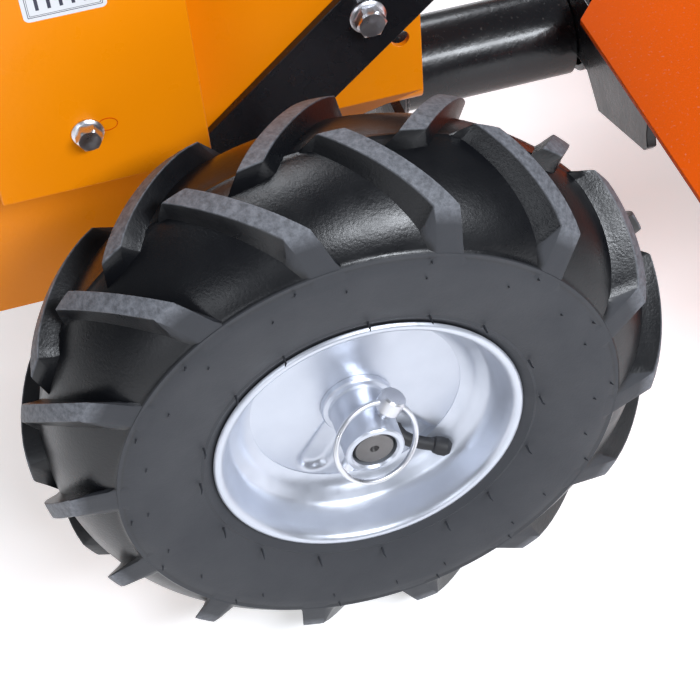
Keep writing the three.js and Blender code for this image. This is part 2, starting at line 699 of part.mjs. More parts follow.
const boxRear = NECK.front + 7 + GAP + 322 + GAP;
piece(
  "deck_gearbox",
  cut(
    join(
      block([boxRear, SPINDLE_X + 50], [-52, 52], [128, DECK.top - DECK.sheet - GAP]),
      rod("z", 34, 40, [SPINDLE_X, 0, 109], 24),
    ),
    block([boxRear + 8, SPINDLE_X + 42], [-44, 44], [136, DECK.top - DECK.sheet + 1]),
    rod("x", 12, 60, [boxRear, 0, NECK.height], 18),
    rod("z", 14, 80, [SPINDLE_X, 0, 110], 18),
  ),
  castMetal,
);
piece(
  "blade_spindle",
  join(
    rod("z", 12.5, 153 - 66, [0, 0, (153 + 66) / 2], 16),
    bevel("z", 26, 1).translate(0, 0, 153),
  ),
  silver,
  [SPINDLE_X, 0, 0],
);
// Each knife swings on a headed pin that is fixed in the disc.
const knifePins = [KNIFE.pivot, -KNIFE.pivot].map((x) =>
  join(rod("z", 7.6, 20, [x, 0, -6], 12), rod("z", 13, 7, [x, 0, 7], 6), rod("z", 12, 4, [x, 0, -14], 14)),
);
piece(
  "blade_disc",
  join(
    turned("z", [[12.5 + GAP, -4], [166, -4], [166, 4], [12.5 + GAP, 4], [12.5 + GAP, -4]], 24),
    ...knifePins,
  ),
  castMetal,
  [SPINDLE_X, 0, BLADE_HEIGHT],
);
for (const [side, name] of [[1, "front"], [-1, "rear"]]) {
  const { reach } = KNIFE;
  const knifeOutline = [
    [-22, -18], [-22, 18], [-10, 25], [reach - 12, 25], [reach, 13], [reach, -25], [-10, -25],
  ];
  const holder = new THREE.Group();
  holder.position.set(SPINDLE_X + side * KNIFE.pivot, 0, BLADE_HEIGHT);
  holder.rotation.z = side > 0 ? 0 : Math.PI;
  machine.add(holder);
  const knife = cut(
    plateXY([...knifeOutline].reverse(), -4 - 0.6 - KNIFE.thick, -4 - 0.6),
    rod("z", 8 + GAP, 40, [0, 0, 0], 12),
  );
  piece("knife_" + name, knife, zinc, [0, 0, 0], holder);
}
for (const [side, name] of [[-1, "right"], [1, "left"]]) {
  const inner = half + GAP;
  const ys = side < 0 ? [-inner - 6, -inner] : [inner, inner + 6];
  const runnerY = side < 0 ? [-inner - 10, -inner + 24] : [inner - 24, inner + 10];
  const plate = plateXZ([[420, 4], [790, 4], [820, 30], [800, 120], [410, 120]], ...ys);
  const runner = plateXZ([[400, 0], [790, 0], [850, 40], [844, 46], [786, 8], [404, 8]], ...runnerY);
  piece("skid_" + name, join(plate, runner), blackPaint);
}
piece(
  "front_flap",
  join(
    block([-3, 3], [-half + 64, half - 64], [-150, 0]),
    rod("y", 6, 2 * (half - 64), [0, 0, 0], 12),
  ),
  rubber,
  [DECK.front + 7, 0, 225],
);
const brushBarLine = [
  [0, -240, 0], [6, -238, 60], [40, -200, 112], [60, 0, 120], [40, 200, 112], [6, 238, 60], [0, 240, 0],
];
piece(
  "brush_bar",
  bent(brushBarLine, 11, 14, 8),
  blackPaint,
  [DECK.front - 100, 0, DECK.top + 1.5],
);

// ---------- origin ----------

const root = new THREE.Group();
root.add(machine);
root.updateMatrixWorld(true);
const extent = new THREE.Box3().setFromObject(root, true);
machine.position.set(-(extent.min.x + extent.max.x) / 2, -(extent.min.y + extent.max.y) / 2, -extent.min.z);

export default root;
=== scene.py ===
"""Looks of the walk-behind brush mower: rounded shells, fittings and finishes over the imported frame.

Shapes are built in machine millimetres: X forward from the wheel axle, Y to the operator's left, Z up from
the ground. One matrix then takes them to the frame's metres.
"""
import json
import logging
import math
from collections.abc import Callable, Sequence
from dataclasses import dataclass
from enum import Enum

import bmesh
import bpy
from mathutils import Matrix, Vector

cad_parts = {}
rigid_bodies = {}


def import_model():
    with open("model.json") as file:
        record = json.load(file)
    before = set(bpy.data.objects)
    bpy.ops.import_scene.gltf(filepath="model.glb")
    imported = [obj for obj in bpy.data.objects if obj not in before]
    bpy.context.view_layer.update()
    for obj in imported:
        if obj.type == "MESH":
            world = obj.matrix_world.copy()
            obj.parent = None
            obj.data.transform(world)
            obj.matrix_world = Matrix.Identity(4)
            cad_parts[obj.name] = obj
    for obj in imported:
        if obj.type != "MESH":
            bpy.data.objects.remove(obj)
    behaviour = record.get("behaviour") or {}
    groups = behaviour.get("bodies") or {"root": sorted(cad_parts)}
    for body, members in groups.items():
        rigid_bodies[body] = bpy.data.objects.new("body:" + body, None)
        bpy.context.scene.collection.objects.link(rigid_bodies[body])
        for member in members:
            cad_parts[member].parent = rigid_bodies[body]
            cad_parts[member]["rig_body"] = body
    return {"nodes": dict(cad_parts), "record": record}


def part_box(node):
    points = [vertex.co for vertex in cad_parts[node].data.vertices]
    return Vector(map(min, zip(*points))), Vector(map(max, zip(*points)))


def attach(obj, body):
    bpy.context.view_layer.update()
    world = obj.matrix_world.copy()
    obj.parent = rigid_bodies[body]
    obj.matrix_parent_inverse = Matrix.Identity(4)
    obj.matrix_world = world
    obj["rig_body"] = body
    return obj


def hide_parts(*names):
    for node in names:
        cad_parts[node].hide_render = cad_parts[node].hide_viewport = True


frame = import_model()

logging.basicConfig(level=logging.INFO, format="%(name)s: %(message)s")
LOG = logging.getLogger("brush_mower")

MM = 0.001
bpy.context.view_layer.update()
AXLE_LOW, AXLE_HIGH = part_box("drive_axle")
AXLE = (AXLE_LOW + AXLE_HIGH) / 2
AXLE_HEIGHT = AXLE.z / MM
TO_FRAME = Matrix.Translation((AXLE.x, 0.0, 0.0)) @ Matrix.Scale(MM, 4)
FROM_FRAME = TO_FRAME.inverted()
SMOOTH_BELOW = math.radians(32.0)  # edges flatter than this are shaded smooth
PRESSED = math.radians(50.0)  # the same for pressed sheet with few faces round its corners

Point = Sequence[float]


class Axis(Enum):
    """A direction of the machine."""

    X = "X"
    Y = "Y"
    Z = "Z"


class Finish(Enum):
    """The finishes of the machine, by the name of their slot in the record."""

    PANEL = "panel_paint"
    DECK = "deck_paint"
    BLACK = "black_paint"
    RIM = "rim_paint"
    TYRE = "tyre_rubber"
    SOFT = "soft_rubber"
    ZINC = "zinc_steel"
    STEEL = "bare_steel"
    ALLOY = "cast_alloy"
    IRON = "cast_iron"
    PLASTIC = "black_plastic"


class Side(Enum):
    """The operator's right is -Y and left is +Y."""

    RIGHT = -1
    LEFT = 1

    @property
    def word(self) -> str:
        """The side's name as it stands in node names."""
        return self.name.lower()


# ---------- surfaces under construction ----------


class Shape:
    """A surface under construction, in machine millimetres."""

    def __init__(self) -> None:
        """Starts empty."""
        self.bm = bmesh.new()

    def rows(self, rows: Sequence[Sequence[Point]], ring: bool = False, caps: bool = True) -> "Shape":
        """Skins rows of points with quads.

        Args:
            rows: Lists of points, all of one length; neighbouring rows are joined.
            ring: True joins the last row to the first.
            caps: True closes the first and last row with a face.

        Returns:
            The shape itself.
        """
        made = [[self.bm.verts.new(Vector(p)) for p in row] for row in rows]
        width = len(made[0])
        pairs = list(zip(made, made[1:])) + ([(made[-1], made[0])] if ring else [])
        for low, high in pairs:
            for i in range(width):
                k = (i + 1) % width
                self.bm.faces.new((low[i], low[k], high[k], high[i]))
        if caps and not ring:
            self.bm.faces.new(made[0][::-1])
            self.bm.faces.new(made[-1])
        return self

    def lathe(
        self, profile: Sequence[Point], axis: Axis, centre: Point = (0, 0, 0), sides: int = 64
    ) -> "Shape":
        """Turns a closed profile of (radius, distance along the axis) round an axis through a centre."""
        cx, cy, cz = centre
        rows = []
        for i in range(sides):
            turn = 2 * math.pi * i / sides
            c, s = math.cos(turn), math.sin(turn)
            if axis is Axis.X:
                rows.append([(cx + a, cy + r * c, cz + r * s) for r, a in profile])
            elif axis is Axis.Y:
                rows.append([(cx + r * c, cy + a, cz + r * s) for r, a in profile])
            else:
                rows.append([(cx + r * c, cy + r * s, cz + a) for r, a in profile])
        return self.rows(rows, ring=True)

    def prism(self, outline: Sequence[Point], axis: Axis, low: float, high: float) -> "Shape":
        """Stands an outline up between two distances along an axis; the outline is in the other two axes."""
        place: dict[Axis, Callable[[float, float, float], Point]] = {
            Axis.X: lambda u, v, w: (w, u, v),
            Axis.Y: lambda u, v, w: (u, w, v),
            Axis.Z: lambda u, v, w: (u, v, w),
        }
        put = place[axis]
        return self.rows([[put(u, v, w) for u, v in outline] for w in (low, high)])

    def rod(self, radius: float, axis: Axis, low: float, high: float, at: Point, sides: int = 48) -> "Shape":
        """A round bar between two distances along an axis; `at` is its place in the other two axes."""
        turns = [2 * math.pi * i / sides for i in range(sides)]
        circle = [(at[0] + radius * math.cos(t), at[1] + radius * math.sin(t)) for t in turns]
        return self.prism(circle, axis, low, high)

    def box(self, xs: Point, ys: Point, zs: Point) -> "Shape":
        """A box between two values on each axis."""
        outline = [(xs[0], ys[0]), (xs[1], ys[0]), (xs[1], ys[1]), (xs[0], ys[1])]
        return self.prism(outline, Axis.Z, zs[0], zs[1])

    def bar(self, path: Sequence[Point], radii: Sequence[float] | float, sides: int = 20) -> "Shape":
        """A round bar along a path, with one radius or one for each point of the path."""
        points = [Vector(p) for p in path]
        sizes = [radii] * len(points) if isinstance(radii, (int, float)) else list(radii)
        heading = (points[1] - points[0]).normalized()
        across = heading.orthogonal().normalized()
        rows = []
        for i, point in enumerate(points):
            ahead = points[min(i + 1, len(points) - 1)] - points[max(i - 1, 0)]
            turn = heading.rotation_difference(ahead.normalized())
            across = turn @ across
            heading = ahead.normalized()
            third = heading.cross(across)
            angles = [2 * math.pi * k / sides for k in range(sides)]
            rows.append([point + sizes[i] * (math.cos(a) * across + math.sin(a) * third) for a in angles])
        return self.rows(rows)

    def hoop(
        self, radius: float, wire: float, axis: Axis, centre: Point, sides: int = 96, around: int = 16
    ) -> "Shape":
        """A ring of round wire, with its sides counted along the ring and around the wire."""
        turns = [2 * math.pi * i / around for i in range(around)]
        profile = [(radius + wire * math.cos(t), wire * math.sin(t)) for t in turns]
        return self.lathe(profile, axis, centre, sides)

    def add(self, mesh: bpy.types.Mesh) -> "Shape":
        """Takes in a finished mesh that is in machine millimetres."""
        self.bm.from_mesh(mesh)
        return self

    def join(self, other: "Shape") -> "Shape":
        """Takes in another shape."""
        mesh = other.mesh("joined")
        self.bm.from_mesh(mesh)
        bpy.data.meshes.remove(mesh)
        return self

    def moved(self, matrix: Matrix) -> "Shape":
        """The shape turned or moved by a matrix."""
        self.bm.transform(matrix)
        return self

    def tidy(self) -> "Shape":
        """Merges doubles and turns every closed surface outwards."""
        bmesh.ops.remove_doubles(self.bm, verts=self.bm.verts, dist=1e-3)
        bmesh.ops.recalc_face_normals(self.bm, faces=self.bm.faces)
        return self

    def mesh(self, name: str) -> bpy.types.Mesh:
        """The shape as a mesh, in machine millimetres."""
        made = bpy.data.meshes.new(name)
        self.bm.to_mesh(made)
        return made

    def cut(self, tool: "Shape") -> "Shape":
        """Takes another shape away from this one."""
        body = bpy.data.objects.new("body", self.tidy().mesh("body"))
        knife = bpy.data.objects.new("knife", tool.tidy().mesh("knife"))
        for obj in (body, knife):
            bpy.context.scene.collection.objects.link(obj)
        step = body.modifiers.new("cut", "BOOLEAN")
        step.operation = "DIFFERENCE"
        step.object = knife
        step.solver = "EXACT"
        graph = bpy.context.evaluated_depsgraph_get()
        left = bpy.data.meshes.new_from_object(body.evaluated_get(graph))
        self.bm.clear()
        self.bm.from_mesh(left)
        for obj in (body, knife):
            bpy.data.objects.remove(obj)
        return self


def node_copy(node: str) -> Shape:
    """A merged copy of a CAD node, with its flat faces whole again."""
    shape = Shape()
    shape.bm.from_mesh(frame["nodes"][node].data)
    shape.moved(FROM_FRAME)
    bmesh.ops.remove_doubles(shape.bm, verts=shape.bm.verts, dist=0.01)
    bm = shape.bm
    bmesh.ops.dissolve_limit(bm, angle_limit=math.radians(0.6), verts=bm.verts, edges=bm.edges)
    return shape


def rounded_outline(xs: Point, ys: Point, radius: float, inset: float = 0.0, steps: int = 8) -> list[Point]:
    """A rectangle with rounded corners, in millimetres, drawn in by an inset."""
    x0, x1, y0, y1 = xs[0] + inset, xs[1] - inset, ys[0] + inset, ys[1] - inset
    r = max(radius - inset, 0.5)
    corners = [(x1 - r, y1 - r), (x0 + r, y1 - r), (x0 + r, y0 + r), (x1 - r, y0 + r)]
    points = []
    for corner, (x, y) in enumerate(corners):
        for i in range(steps + 1):
            turn = (corner + i / steps) * math.pi / 2
            points.append((x + r * math.cos(turn), y + r * math.sin(turn)))
    return points


def pressed_box(
    xs: Point, ys: Point, radius: float, levels: Sequence[Point], steps: int = 8, ease: float = 0.0
) -> Shape:
    """A box with rounded corners.

    Args:
        xs: Its two sides across X.
        ys: Its two sides across Y.
        radius: Radius of its upright corners.
        levels: Pairs of a height and how far the outline is drawn in there.
        steps: Faces round a corner.
        ease: How much a corner's radius grows with each millimetre drawn in.

    Returns:
        The box, in machine millimetres.
    """
    rows = []
    for z, inset in levels:
        outline = rounded_outline(xs, ys, radius + inset * ease, inset, steps)
        rows.append([(x, y, z) for x, y in outline])
    return Shape().rows(rows)


def smooth_path(points: Sequence[Point], steps: int = 8) -> list[Vector]:
    """A Catmull-Rom line through the points."""
    known = [Vector(p) for p in points]
    ends = [2 * known[0] - known[1], *known, 2 * known[-1] - known[-2]]
    line = []
    for a, b, c, d in zip(ends, ends[1:], ends[2:], ends[3:]):
        for i in range(steps):
            t = i / steps
            line.append(0.5 * (2 * b + (c - a) * t + (2 * a - 5 * b + 4 * c - d) * t * t
                               + (3 * b - a - 3 * c + d) * t ** 3))
    return [*line, known[-1]]


# ---------- repeated parts ----------


def round_tree() -> bpy.types.NodeTree:
    """Geometry nodes that repeat a part round an axis, evenly or with small random shifts."""
    tree = bpy.data.node_groups.new("Repeat round an axis", "GeometryNodeTree")
    inputs = [
        ("Part", "NodeSocketGeometry"),
        ("Count", "NodeSocketInt"),
        ("Pitch", "NodeSocketFloat"),
        ("First", "NodeSocketFloat"),
        ("Uneven", "NodeSocketFloat"),
        ("Seed", "NodeSocketInt"),
        ("Axis", "NodeSocketVector"),
        ("Centre", "NodeSocketVector"),
        ("Finish", "NodeSocketMaterial"),
    ]
    for name, kind in inputs:
        tree.interface.new_socket(name, in_out="INPUT", socket_type=kind)
    tree.interface.new_socket("Parts", in_out="OUTPUT", socket_type="NodeSocketGeometry")
    nodes, links = tree.nodes, tree.links
    given = nodes.new("NodeGroupInput")
    given.label = "sizes"
    points = nodes.new("GeometryNodePoints")
    points.label = "one point for each part"
    index = nodes.new("GeometryNodeInputIndex")
    index.label = "number of the part"
    step = nodes.new("ShaderNodeMath")
    step.label = "even place of the part"
    step.operation = "MULTIPLY_ADD"
    chance = nodes.new("FunctionNodeRandomValue")
    chance.label = "random shift"
    chance.data_type = "FLOAT"
    chance.inputs[2].default_value = -1.0
    shift = nodes.new("ShaderNodeMath")
    shift.label = "shifted place of the part"
    shift.operation = "MULTIPLY_ADD"
    turn = nodes.new("ShaderNodeVectorMath")
    turn.label = "turn about the axis"
    turn.operation = "SCALE"
    place = nodes.new("GeometryNodeInstanceOnPoints")
    place.label = "part on each point"
    real = nodes.new("GeometryNodeRealizeInstances")
    real.label = "real faces"
    dress = nodes.new("GeometryNodeSetMaterial")
    dress.label = "finish"
    out = nodes.new("NodeGroupOutput")
    out.label = "parts"
    links.new(given.outputs["Count"], points.inputs["Count"])
    links.new(given.outputs["Centre"], points.inputs["Position"])
    links.new(index.outputs[0], step.inputs[0])
    links.new(given.outputs["Pitch"], step.inputs[1])
    links.new(given.outputs["First"], step.inputs[2])
    links.new(given.outputs["Seed"], chance.inputs["Seed"])
    links.new(chance.outputs[1], shift.inputs[0])
    links.new(given.outputs["Uneven"], shift.inputs[1])
    links.new(step.outputs[0], shift.inputs[2])
    links.new(given.outputs["Axis"], turn.inputs[0])
    links.new(shift.outputs[0], turn.inputs["Scale"])
    links.new(points.outputs[0], place.inputs["Points"])
    links.new(given.outputs["Part"], place.inputs["Instance"])
    links.new(turn.outputs[0], place.inputs["Rotation"])
    links.new(place.outputs[0], real.inputs[0])
    links.new(real.outputs[0], dress.inputs["Geometry"])
    links.new(given.outputs["Finish"], dress.inputs["Material"])
    links.new(dress.outputs[0], out.inputs["Parts"])
    for column, node in enumerate((given, points, index, step, chance, shift, turn, place, real, dress, out)):
        node.location = (200 * column, 0)
    return tree


def row_tree() -> bpy.types.NodeTree:
    """Geometry nodes that repeat a part along a straight row."""
    tree = bpy.data.node_groups.new("Repeat along a row", "GeometryNodeTree")
    inputs = [
        ("Part", "NodeSocketGeometry"),
        ("Count", "NodeSocketInt"),
        ("Step", "NodeSocketVector"),
        ("Finish", "NodeSocketMaterial"),
    ]
    for name, kind in inputs:
        tree.interface.new_socket(name, in_out="INPUT", socket_type=kind)
    tree.interface.new_socket("Parts", in_out="OUTPUT", socket_type="NodeSocketGeometry")
    nodes, links = tree.nodes, tree.links
    given = nodes.new("NodeGroupInput")
    given.label = "sizes"
    line = nodes.new("GeometryNodeMeshLine")
    line.label = "one point for each part"
    place = nodes.new("GeometryNodeInstanceOnPoints")
    place.label = "part on each point"
    real = nodes.new("GeometryNodeRealizeInstances")
    real.label = "real faces"
    dress = nodes.new("GeometryNodeSetMaterial")
    dress.label = "finish"
    out = nodes.new("NodeGroupOutput")
    out.label = "parts"
    links.new(given.outputs["Count"], line.inputs["Count"])
    links.new(given.outputs["Step"], line.inputs["Offset"])
    links.new(line.outputs[0], place.inputs["Points"])
    links.new(given.outputs["Part"], place.inputs["Instance"])
    links.new(place.outputs[0], real.inputs[0])
    links.new(real.outputs[0], dress.inputs["Geometry"])
    links.new(given.outputs["Finish"], dress.inputs["Material"])
    links.new(dress.outputs[0], out.inputs["Parts"])
    for column, node in enumerate((given, line, place, real, dress, out)):
        node.location = (200 * column, 0)
    return tree


def grown(part: Shape, tree: bpy.types.NodeTree, sizes: dict[str, object]) -> bpy.types.Mesh:
    """Runs a node tree on a part.

    Args:
        part: The part to repeat, in machine millimetres.
        tree: One of the trees above.
        sizes: Values of the tree's named inputs.

    Returns:
        A plain mesh of all the parts, in machine millimetres.
    """
    obj = bpy.data.objects.new("part", part.tidy().mesh("part"))
    bpy.context.scene.collection.objects.link(obj)
    step = obj.modifiers.new("repeat", "NODES")
    step.node_group = tree
    for item in tree.interface.items_tree:
        if item.in_out == "INPUT" and item.name in sizes:
            step[item.identifier] = sizes[item.name]
    graph = bpy.context.evaluated_depsgraph_get()
    mesh = bpy.data.meshes.new_from_object(obj.evaluated_get(graph))
    obj.modifiers.remove(step)
    bpy.data.objects.remove(obj)
    return mesh


# ---------- finishes ----------


@dataclass(frozen=True)
class Paint:
    """Gloss paint on steel sheet or tube."""

    name: str
    colour: tuple[float, float, float]
    shade: tuple[float, float, float]
    gloss: tuple[float, float] = (0.2, 0.34)
    coat: float = 0.35
    peel: float = 0.05
    shine: float = 0.5


@dataclass(frozen=True)
class Rubber:
    """Moulded rubber; a tyre also has attributes for its worn tops and its flat side wall."""

    name: str
    colour: tuple[float, float, float] = (0.0035, 0.004, 0.0055)
    side_wall: tuple[float, float, float] = (0.031, 0.033, 0.039)
    dust: tuple[float, float, float] = (0.17, 0.178, 0.2)
    gloss: tuple[float, float] = (0.24, 0.42)


@dataclass(frozen=True)
class Metal:
    """Bare, plated or cast metal."""

    name: str
    colour: tuple[float, float, float]
    shade: tuple[float, float, float]
    gloss: tuple[float, float]
    grain: float
    depth: float
    metallic: float = 1.0


@dataclass(frozen=True)
class Plastic:
    """Moulded plastic or printed film."""

    name: str
    colour: tuple[float, float, float]
    gloss: float
    grain: float = 900.0
    depth: float = 0.08
    glow: float = 0.0


def lay_out(nodes: bpy.types.Nodes, groups: dict[str, Sequence[bpy.types.Node]]) -> None:
    """Puts nodes in labelled frames by effect, one column for each."""
    for column, (title, members) in enumerate(groups.items()):
        holder = nodes.new("NodeFrame")
        holder.label = title
        for row, node in enumerate(members):
            node.parent = holder
            node.location = (300 * column, -240 * row)


def rgba(colour: tuple[float, float, float]) -> tuple[float, float, float, float]:
    """A colour with full opacity."""
    return (*colour, 1.0)


def painted_steel(paint: Paint) -> bpy.types.Material:
    """Gloss paint: a soft drift of shade, orange peel, handling haze and a little dust on upward faces."""
    material = bpy.data.materials.new(paint.name)
    material.use_nodes = True
    nodes, links = material.node_tree.nodes, material.node_tree.links
    nodes.clear()
    where = nodes.new("ShaderNodeTexCoord")
    where.label = "place on the machine"
    drift = nodes.new("ShaderNodeTexNoise")
    drift.label = "drift of shade across a panel"
    drift.inputs["Scale"].default_value = 9.0
    drift.inputs["Detail"].default_value = 3.0
    tint = nodes.new("ShaderNodeMix")
    tint.label = "paint shade"
    tint.data_type = "RGBA"
    tint.inputs["A"].default_value = rgba(paint.colour)
    tint.inputs["B"].default_value = rgba(paint.shade)
    facing = nodes.new("ShaderNodeNewGeometry")
    facing.label = "way the face looks"
    upward = nodes.new("ShaderNodeSeparateXYZ")
    upward.label = "upward part"
    specks = nodes.new("ShaderNodeTexNoise")
    specks.label = "dust specks"
    specks.inputs["Scale"].default_value = 420.0
    specks.inputs["Detail"].default_value = 6.0
    few = nodes.new("ShaderNodeMapRange")
    few.label = "only a few specks"
    few.inputs["From Min"].default_value = 0.62
    few.inputs["From Max"].default_value = 0.9
    few.inputs["To Max"].default_value = 0.3
    settled = nodes.new("ShaderNodeMath")
    settled.label = "specks settle on tops"
    settled.operation = "MULTIPLY"
    settled.use_clamp = True
    dusty = nodes.new("ShaderNodeMix")
    dusty.label = "dust over paint"
    dusty.data_type = "RGBA"
    dusty.inputs["B"].default_value = (0.55, 0.52, 0.48, 1.0)
    haze = nodes.new("ShaderNodeTexNoise")
    haze.label = "handling haze"
    haze.inputs["Scale"].default_value = 38.0
    haze.inputs["Detail"].default_value = 5.0
    gloss = nodes.new("ShaderNodeMapRange")
    gloss.label = "gloss from clean to hazed"
    gloss.inputs["From Min"].default_value = 0.3
    gloss.inputs["From Max"].default_value = 0.75
    gloss.inputs["To Min"].default_value = paint.gloss[0]
    gloss.inputs["To Max"].default_value = paint.gloss[1]
    peel = nodes.new("ShaderNodeTexNoise")
    peel.label = "orange peel"
    peel.inputs["Scale"].default_value = 260.0
    peel.inputs["Detail"].default_value = 2.0
    relief = nodes.new("ShaderNodeBump")
    relief.label = "orange peel relief"
    relief.inputs["Strength"].default_value = paint.peel
    relief.inputs["Distance"].default_value = 0.002
    skin = nodes.new("ShaderNodeBsdfPrincipled")
    skin.label = "paint film"
    skin.inputs["Specular IOR Level"].default_value = paint.shine
    skin.inputs["Coat Weight"].default_value = paint.coat
    skin.inputs["Coat Roughness"].default_value = 0.08
    out = nodes.new("ShaderNodeOutputMaterial")
    out.label = "surface"
    links.new(where.outputs["Object"], drift.inputs["Vector"])
    links.new(drift.outputs["Fac"], tint.inputs["Factor"])
    links.new(facing.outputs["Normal"], upward.inputs["Vector"])
    links.new(where.outputs["Object"], specks.inputs["Vector"])
    links.new(specks.outputs["Fac"], few.inputs["Value"])
    links.new(few.outputs["Result"], settled.inputs[0])
    links.new(upward.outputs["Z"], settled.inputs[1])
    links.new(settled.outputs["Value"], dusty.inputs["Factor"])
    links.new(tint.outputs["Result"], dusty.inputs["A"])
    links.new(dusty.outputs["Result"], skin.inputs["Base Color"])
    links.new(where.outputs["Object"], haze.inputs["Vector"])
    links.new(haze.outputs["Fac"], gloss.inputs["Value"])
    links.new(gloss.outputs["Result"], skin.inputs["Roughness"])
    links.new(where.outputs["Object"], peel.inputs["Vector"])
    links.new(peel.outputs["Fac"], relief.inputs["Height"])
    links.new(relief.outputs["Normal"], skin.inputs["Normal"])
    links.new(skin.outputs["BSDF"], out.inputs["Surface"])
    lay_out(nodes, {
        "Place": [where, facing],
        "Shade": [drift, tint],
        "Dust": [upward, specks, few, settled, dusty],
        "Gloss": [haze, gloss],
        "Relief": [peel, relief],
        "Result": [skin, out],
    })
    return material


def moulded_rubber(rubber: Rubber) -> bpy.types.Material:
    """Black rubber: a glossy carcass, a greyer side wall and dusty worn tops, by attributes of the piece."""
    material = bpy.data.materials.new(rubber.name)
    material.use_nodes = True
    nodes, links = material.node_tree.nodes, material.node_tree.links
    nodes.clear()
    where = nodes.new("ShaderNodeTexCoord")
    where.label = "place on the machine"
    tops = nodes.new("ShaderNodeAttribute")
    tops.label = "worn tops"
    tops.attribute_name = "worn_top"
    wall = nodes.new("ShaderNodeAttribute")
    wall.label = "side wall"
    wall.attribute_name = "side_wall"
    mottle = nodes.new("ShaderNodeTexNoise")
    mottle.label = "mottled dust"
    mottle.inputs["Scale"].default_value = 330.0
    mottle.inputs["Detail"].default_value = 9.0
    mottle.inputs["Roughness"].default_value = 0.68
    patches = nodes.new("ShaderNodeMapRange")
    patches.label = "dusty patches"
    patches.inputs["From Min"].default_value = 0.36
    patches.inputs["From Max"].default_value = 0.66
    patches.inputs["To Min"].default_value = 0.42
    held = nodes.new("ShaderNodeMath")
    held.label = "dust held on tops"
    held.operation = "MULTIPLY"
    body = nodes.new("ShaderNodeMix")
    body.label = "carcass to side wall"
    body.data_type = "RGBA"
    body.inputs["A"].default_value = rgba(rubber.colour)
    body.inputs["B"].default_value = rgba(rubber.side_wall)
    dusty = nodes.new("ShaderNodeMix")
    dusty.label = "dust over rubber"
    dusty.data_type = "RGBA"
    dusty.inputs["B"].default_value = rgba(rubber.dust)
    smear = nodes.new("ShaderNodeTexNoise")
    smear.label = "smears of mould release"
    smear.inputs["Scale"].default_value = 30.0
    smear.inputs["Detail"].default_value = 8.0
    smear.inputs["Roughness"].default_value = 0.62
    gloss = nodes.new("ShaderNodeMapRange")
    gloss.label = "gloss of the carcass"
    gloss.inputs["From Min"].default_value = 0.3
    gloss.inputs["From Max"].default_value = 0.72
    gloss.inputs["To Min"].default_value = rubber.gloss[0]
    gloss.inputs["To Max"].default_value = rubber.gloss[1]
    duller = nodes.new("ShaderNodeMath")
    duller.label = "side wall and tops are duller"
    duller.operation = "MAXIMUM"
    matt = nodes.new("ShaderNodeMath")
    matt.label = "gloss lost"
    matt.operation = "MULTIPLY_ADD"
    matt.inputs[1].default_value = 0.3
    grain = nodes.new("ShaderNodeTexNoise")
    grain.label = "mould grain"
    grain.inputs["Scale"].default_value = 650.0
    grain.inputs["Detail"].default_value = 4.0
    relief = nodes.new("ShaderNodeBump")
    relief.label = "mould grain relief"
    relief.inputs["Strength"].default_value = 0.12
    relief.inputs["Distance"].default_value = 0.001
    pits = nodes.new("ShaderNodeBump")
    pits.label = "scuffed patches"
    pits.inputs["Strength"].default_value = 0.05
    pits.inputs["Distance"].default_value = 0.002
    skin = nodes.new("ShaderNodeBsdfPrincipled")
    skin.label = "rubber"
    skin.inputs["Specular IOR Level"].default_value = 0.42
    out = nodes.new("ShaderNodeOutputMaterial")
    out.label = "surface"
    links.new(where.outputs["Object"], mottle.inputs["Vector"])
    links.new(mottle.outputs["Fac"], patches.inputs["Value"])
    links.new(patches.outputs["Result"], held.inputs[0])
    links.new(tops.outputs["Fac"], held.inputs[1])
    links.new(wall.outputs["Fac"], body.inputs["Factor"])
    links.new(body.outputs["Result"], dusty.inputs["A"])
    links.new(held.outputs["Value"], dusty.inputs["Factor"])
    links.new(dusty.outputs["Result"], skin.inputs["Base Color"])
    links.new(where.outputs["Object"], smear.inputs["Vector"])
    links.new(smear.outputs["Fac"], gloss.inputs["Value"])
    links.new(tops.outputs["Fac"], duller.inputs[0])
    links.new(wall.outputs["Fac"], duller.inputs[1])
    links.new(duller.outputs["Value"], matt.inputs[0])
    links.new(gloss.outputs["Result"], matt.inputs[2])
    links.new(matt.outputs["Value"], skin.inputs["Roughness"])
    links.new(where.outputs["Object"], grain.inputs["Vector"])
    links.new(grain.outputs["Fac"], relief.inputs["Height"])
    links.new(mottle.outputs["Fac"], pits.inputs["Height"])
    links.new(relief.outputs["Normal"], pits.inputs["Normal"])
    links.new(pits.outputs["Normal"], skin.inputs["Normal"])
    links.new(skin.outputs["BSDF"], out.inputs["Surface"])
    lay_out(nodes, {
        "Place": [where, tops, wall],
        "Dust": [mottle, patches, held],
        "Colour": [body, dusty],
        "Gloss": [smear, gloss, duller, matt],
        "Relief": [grain, relief, pits],
        "Result": [skin, out],
    })
    return material


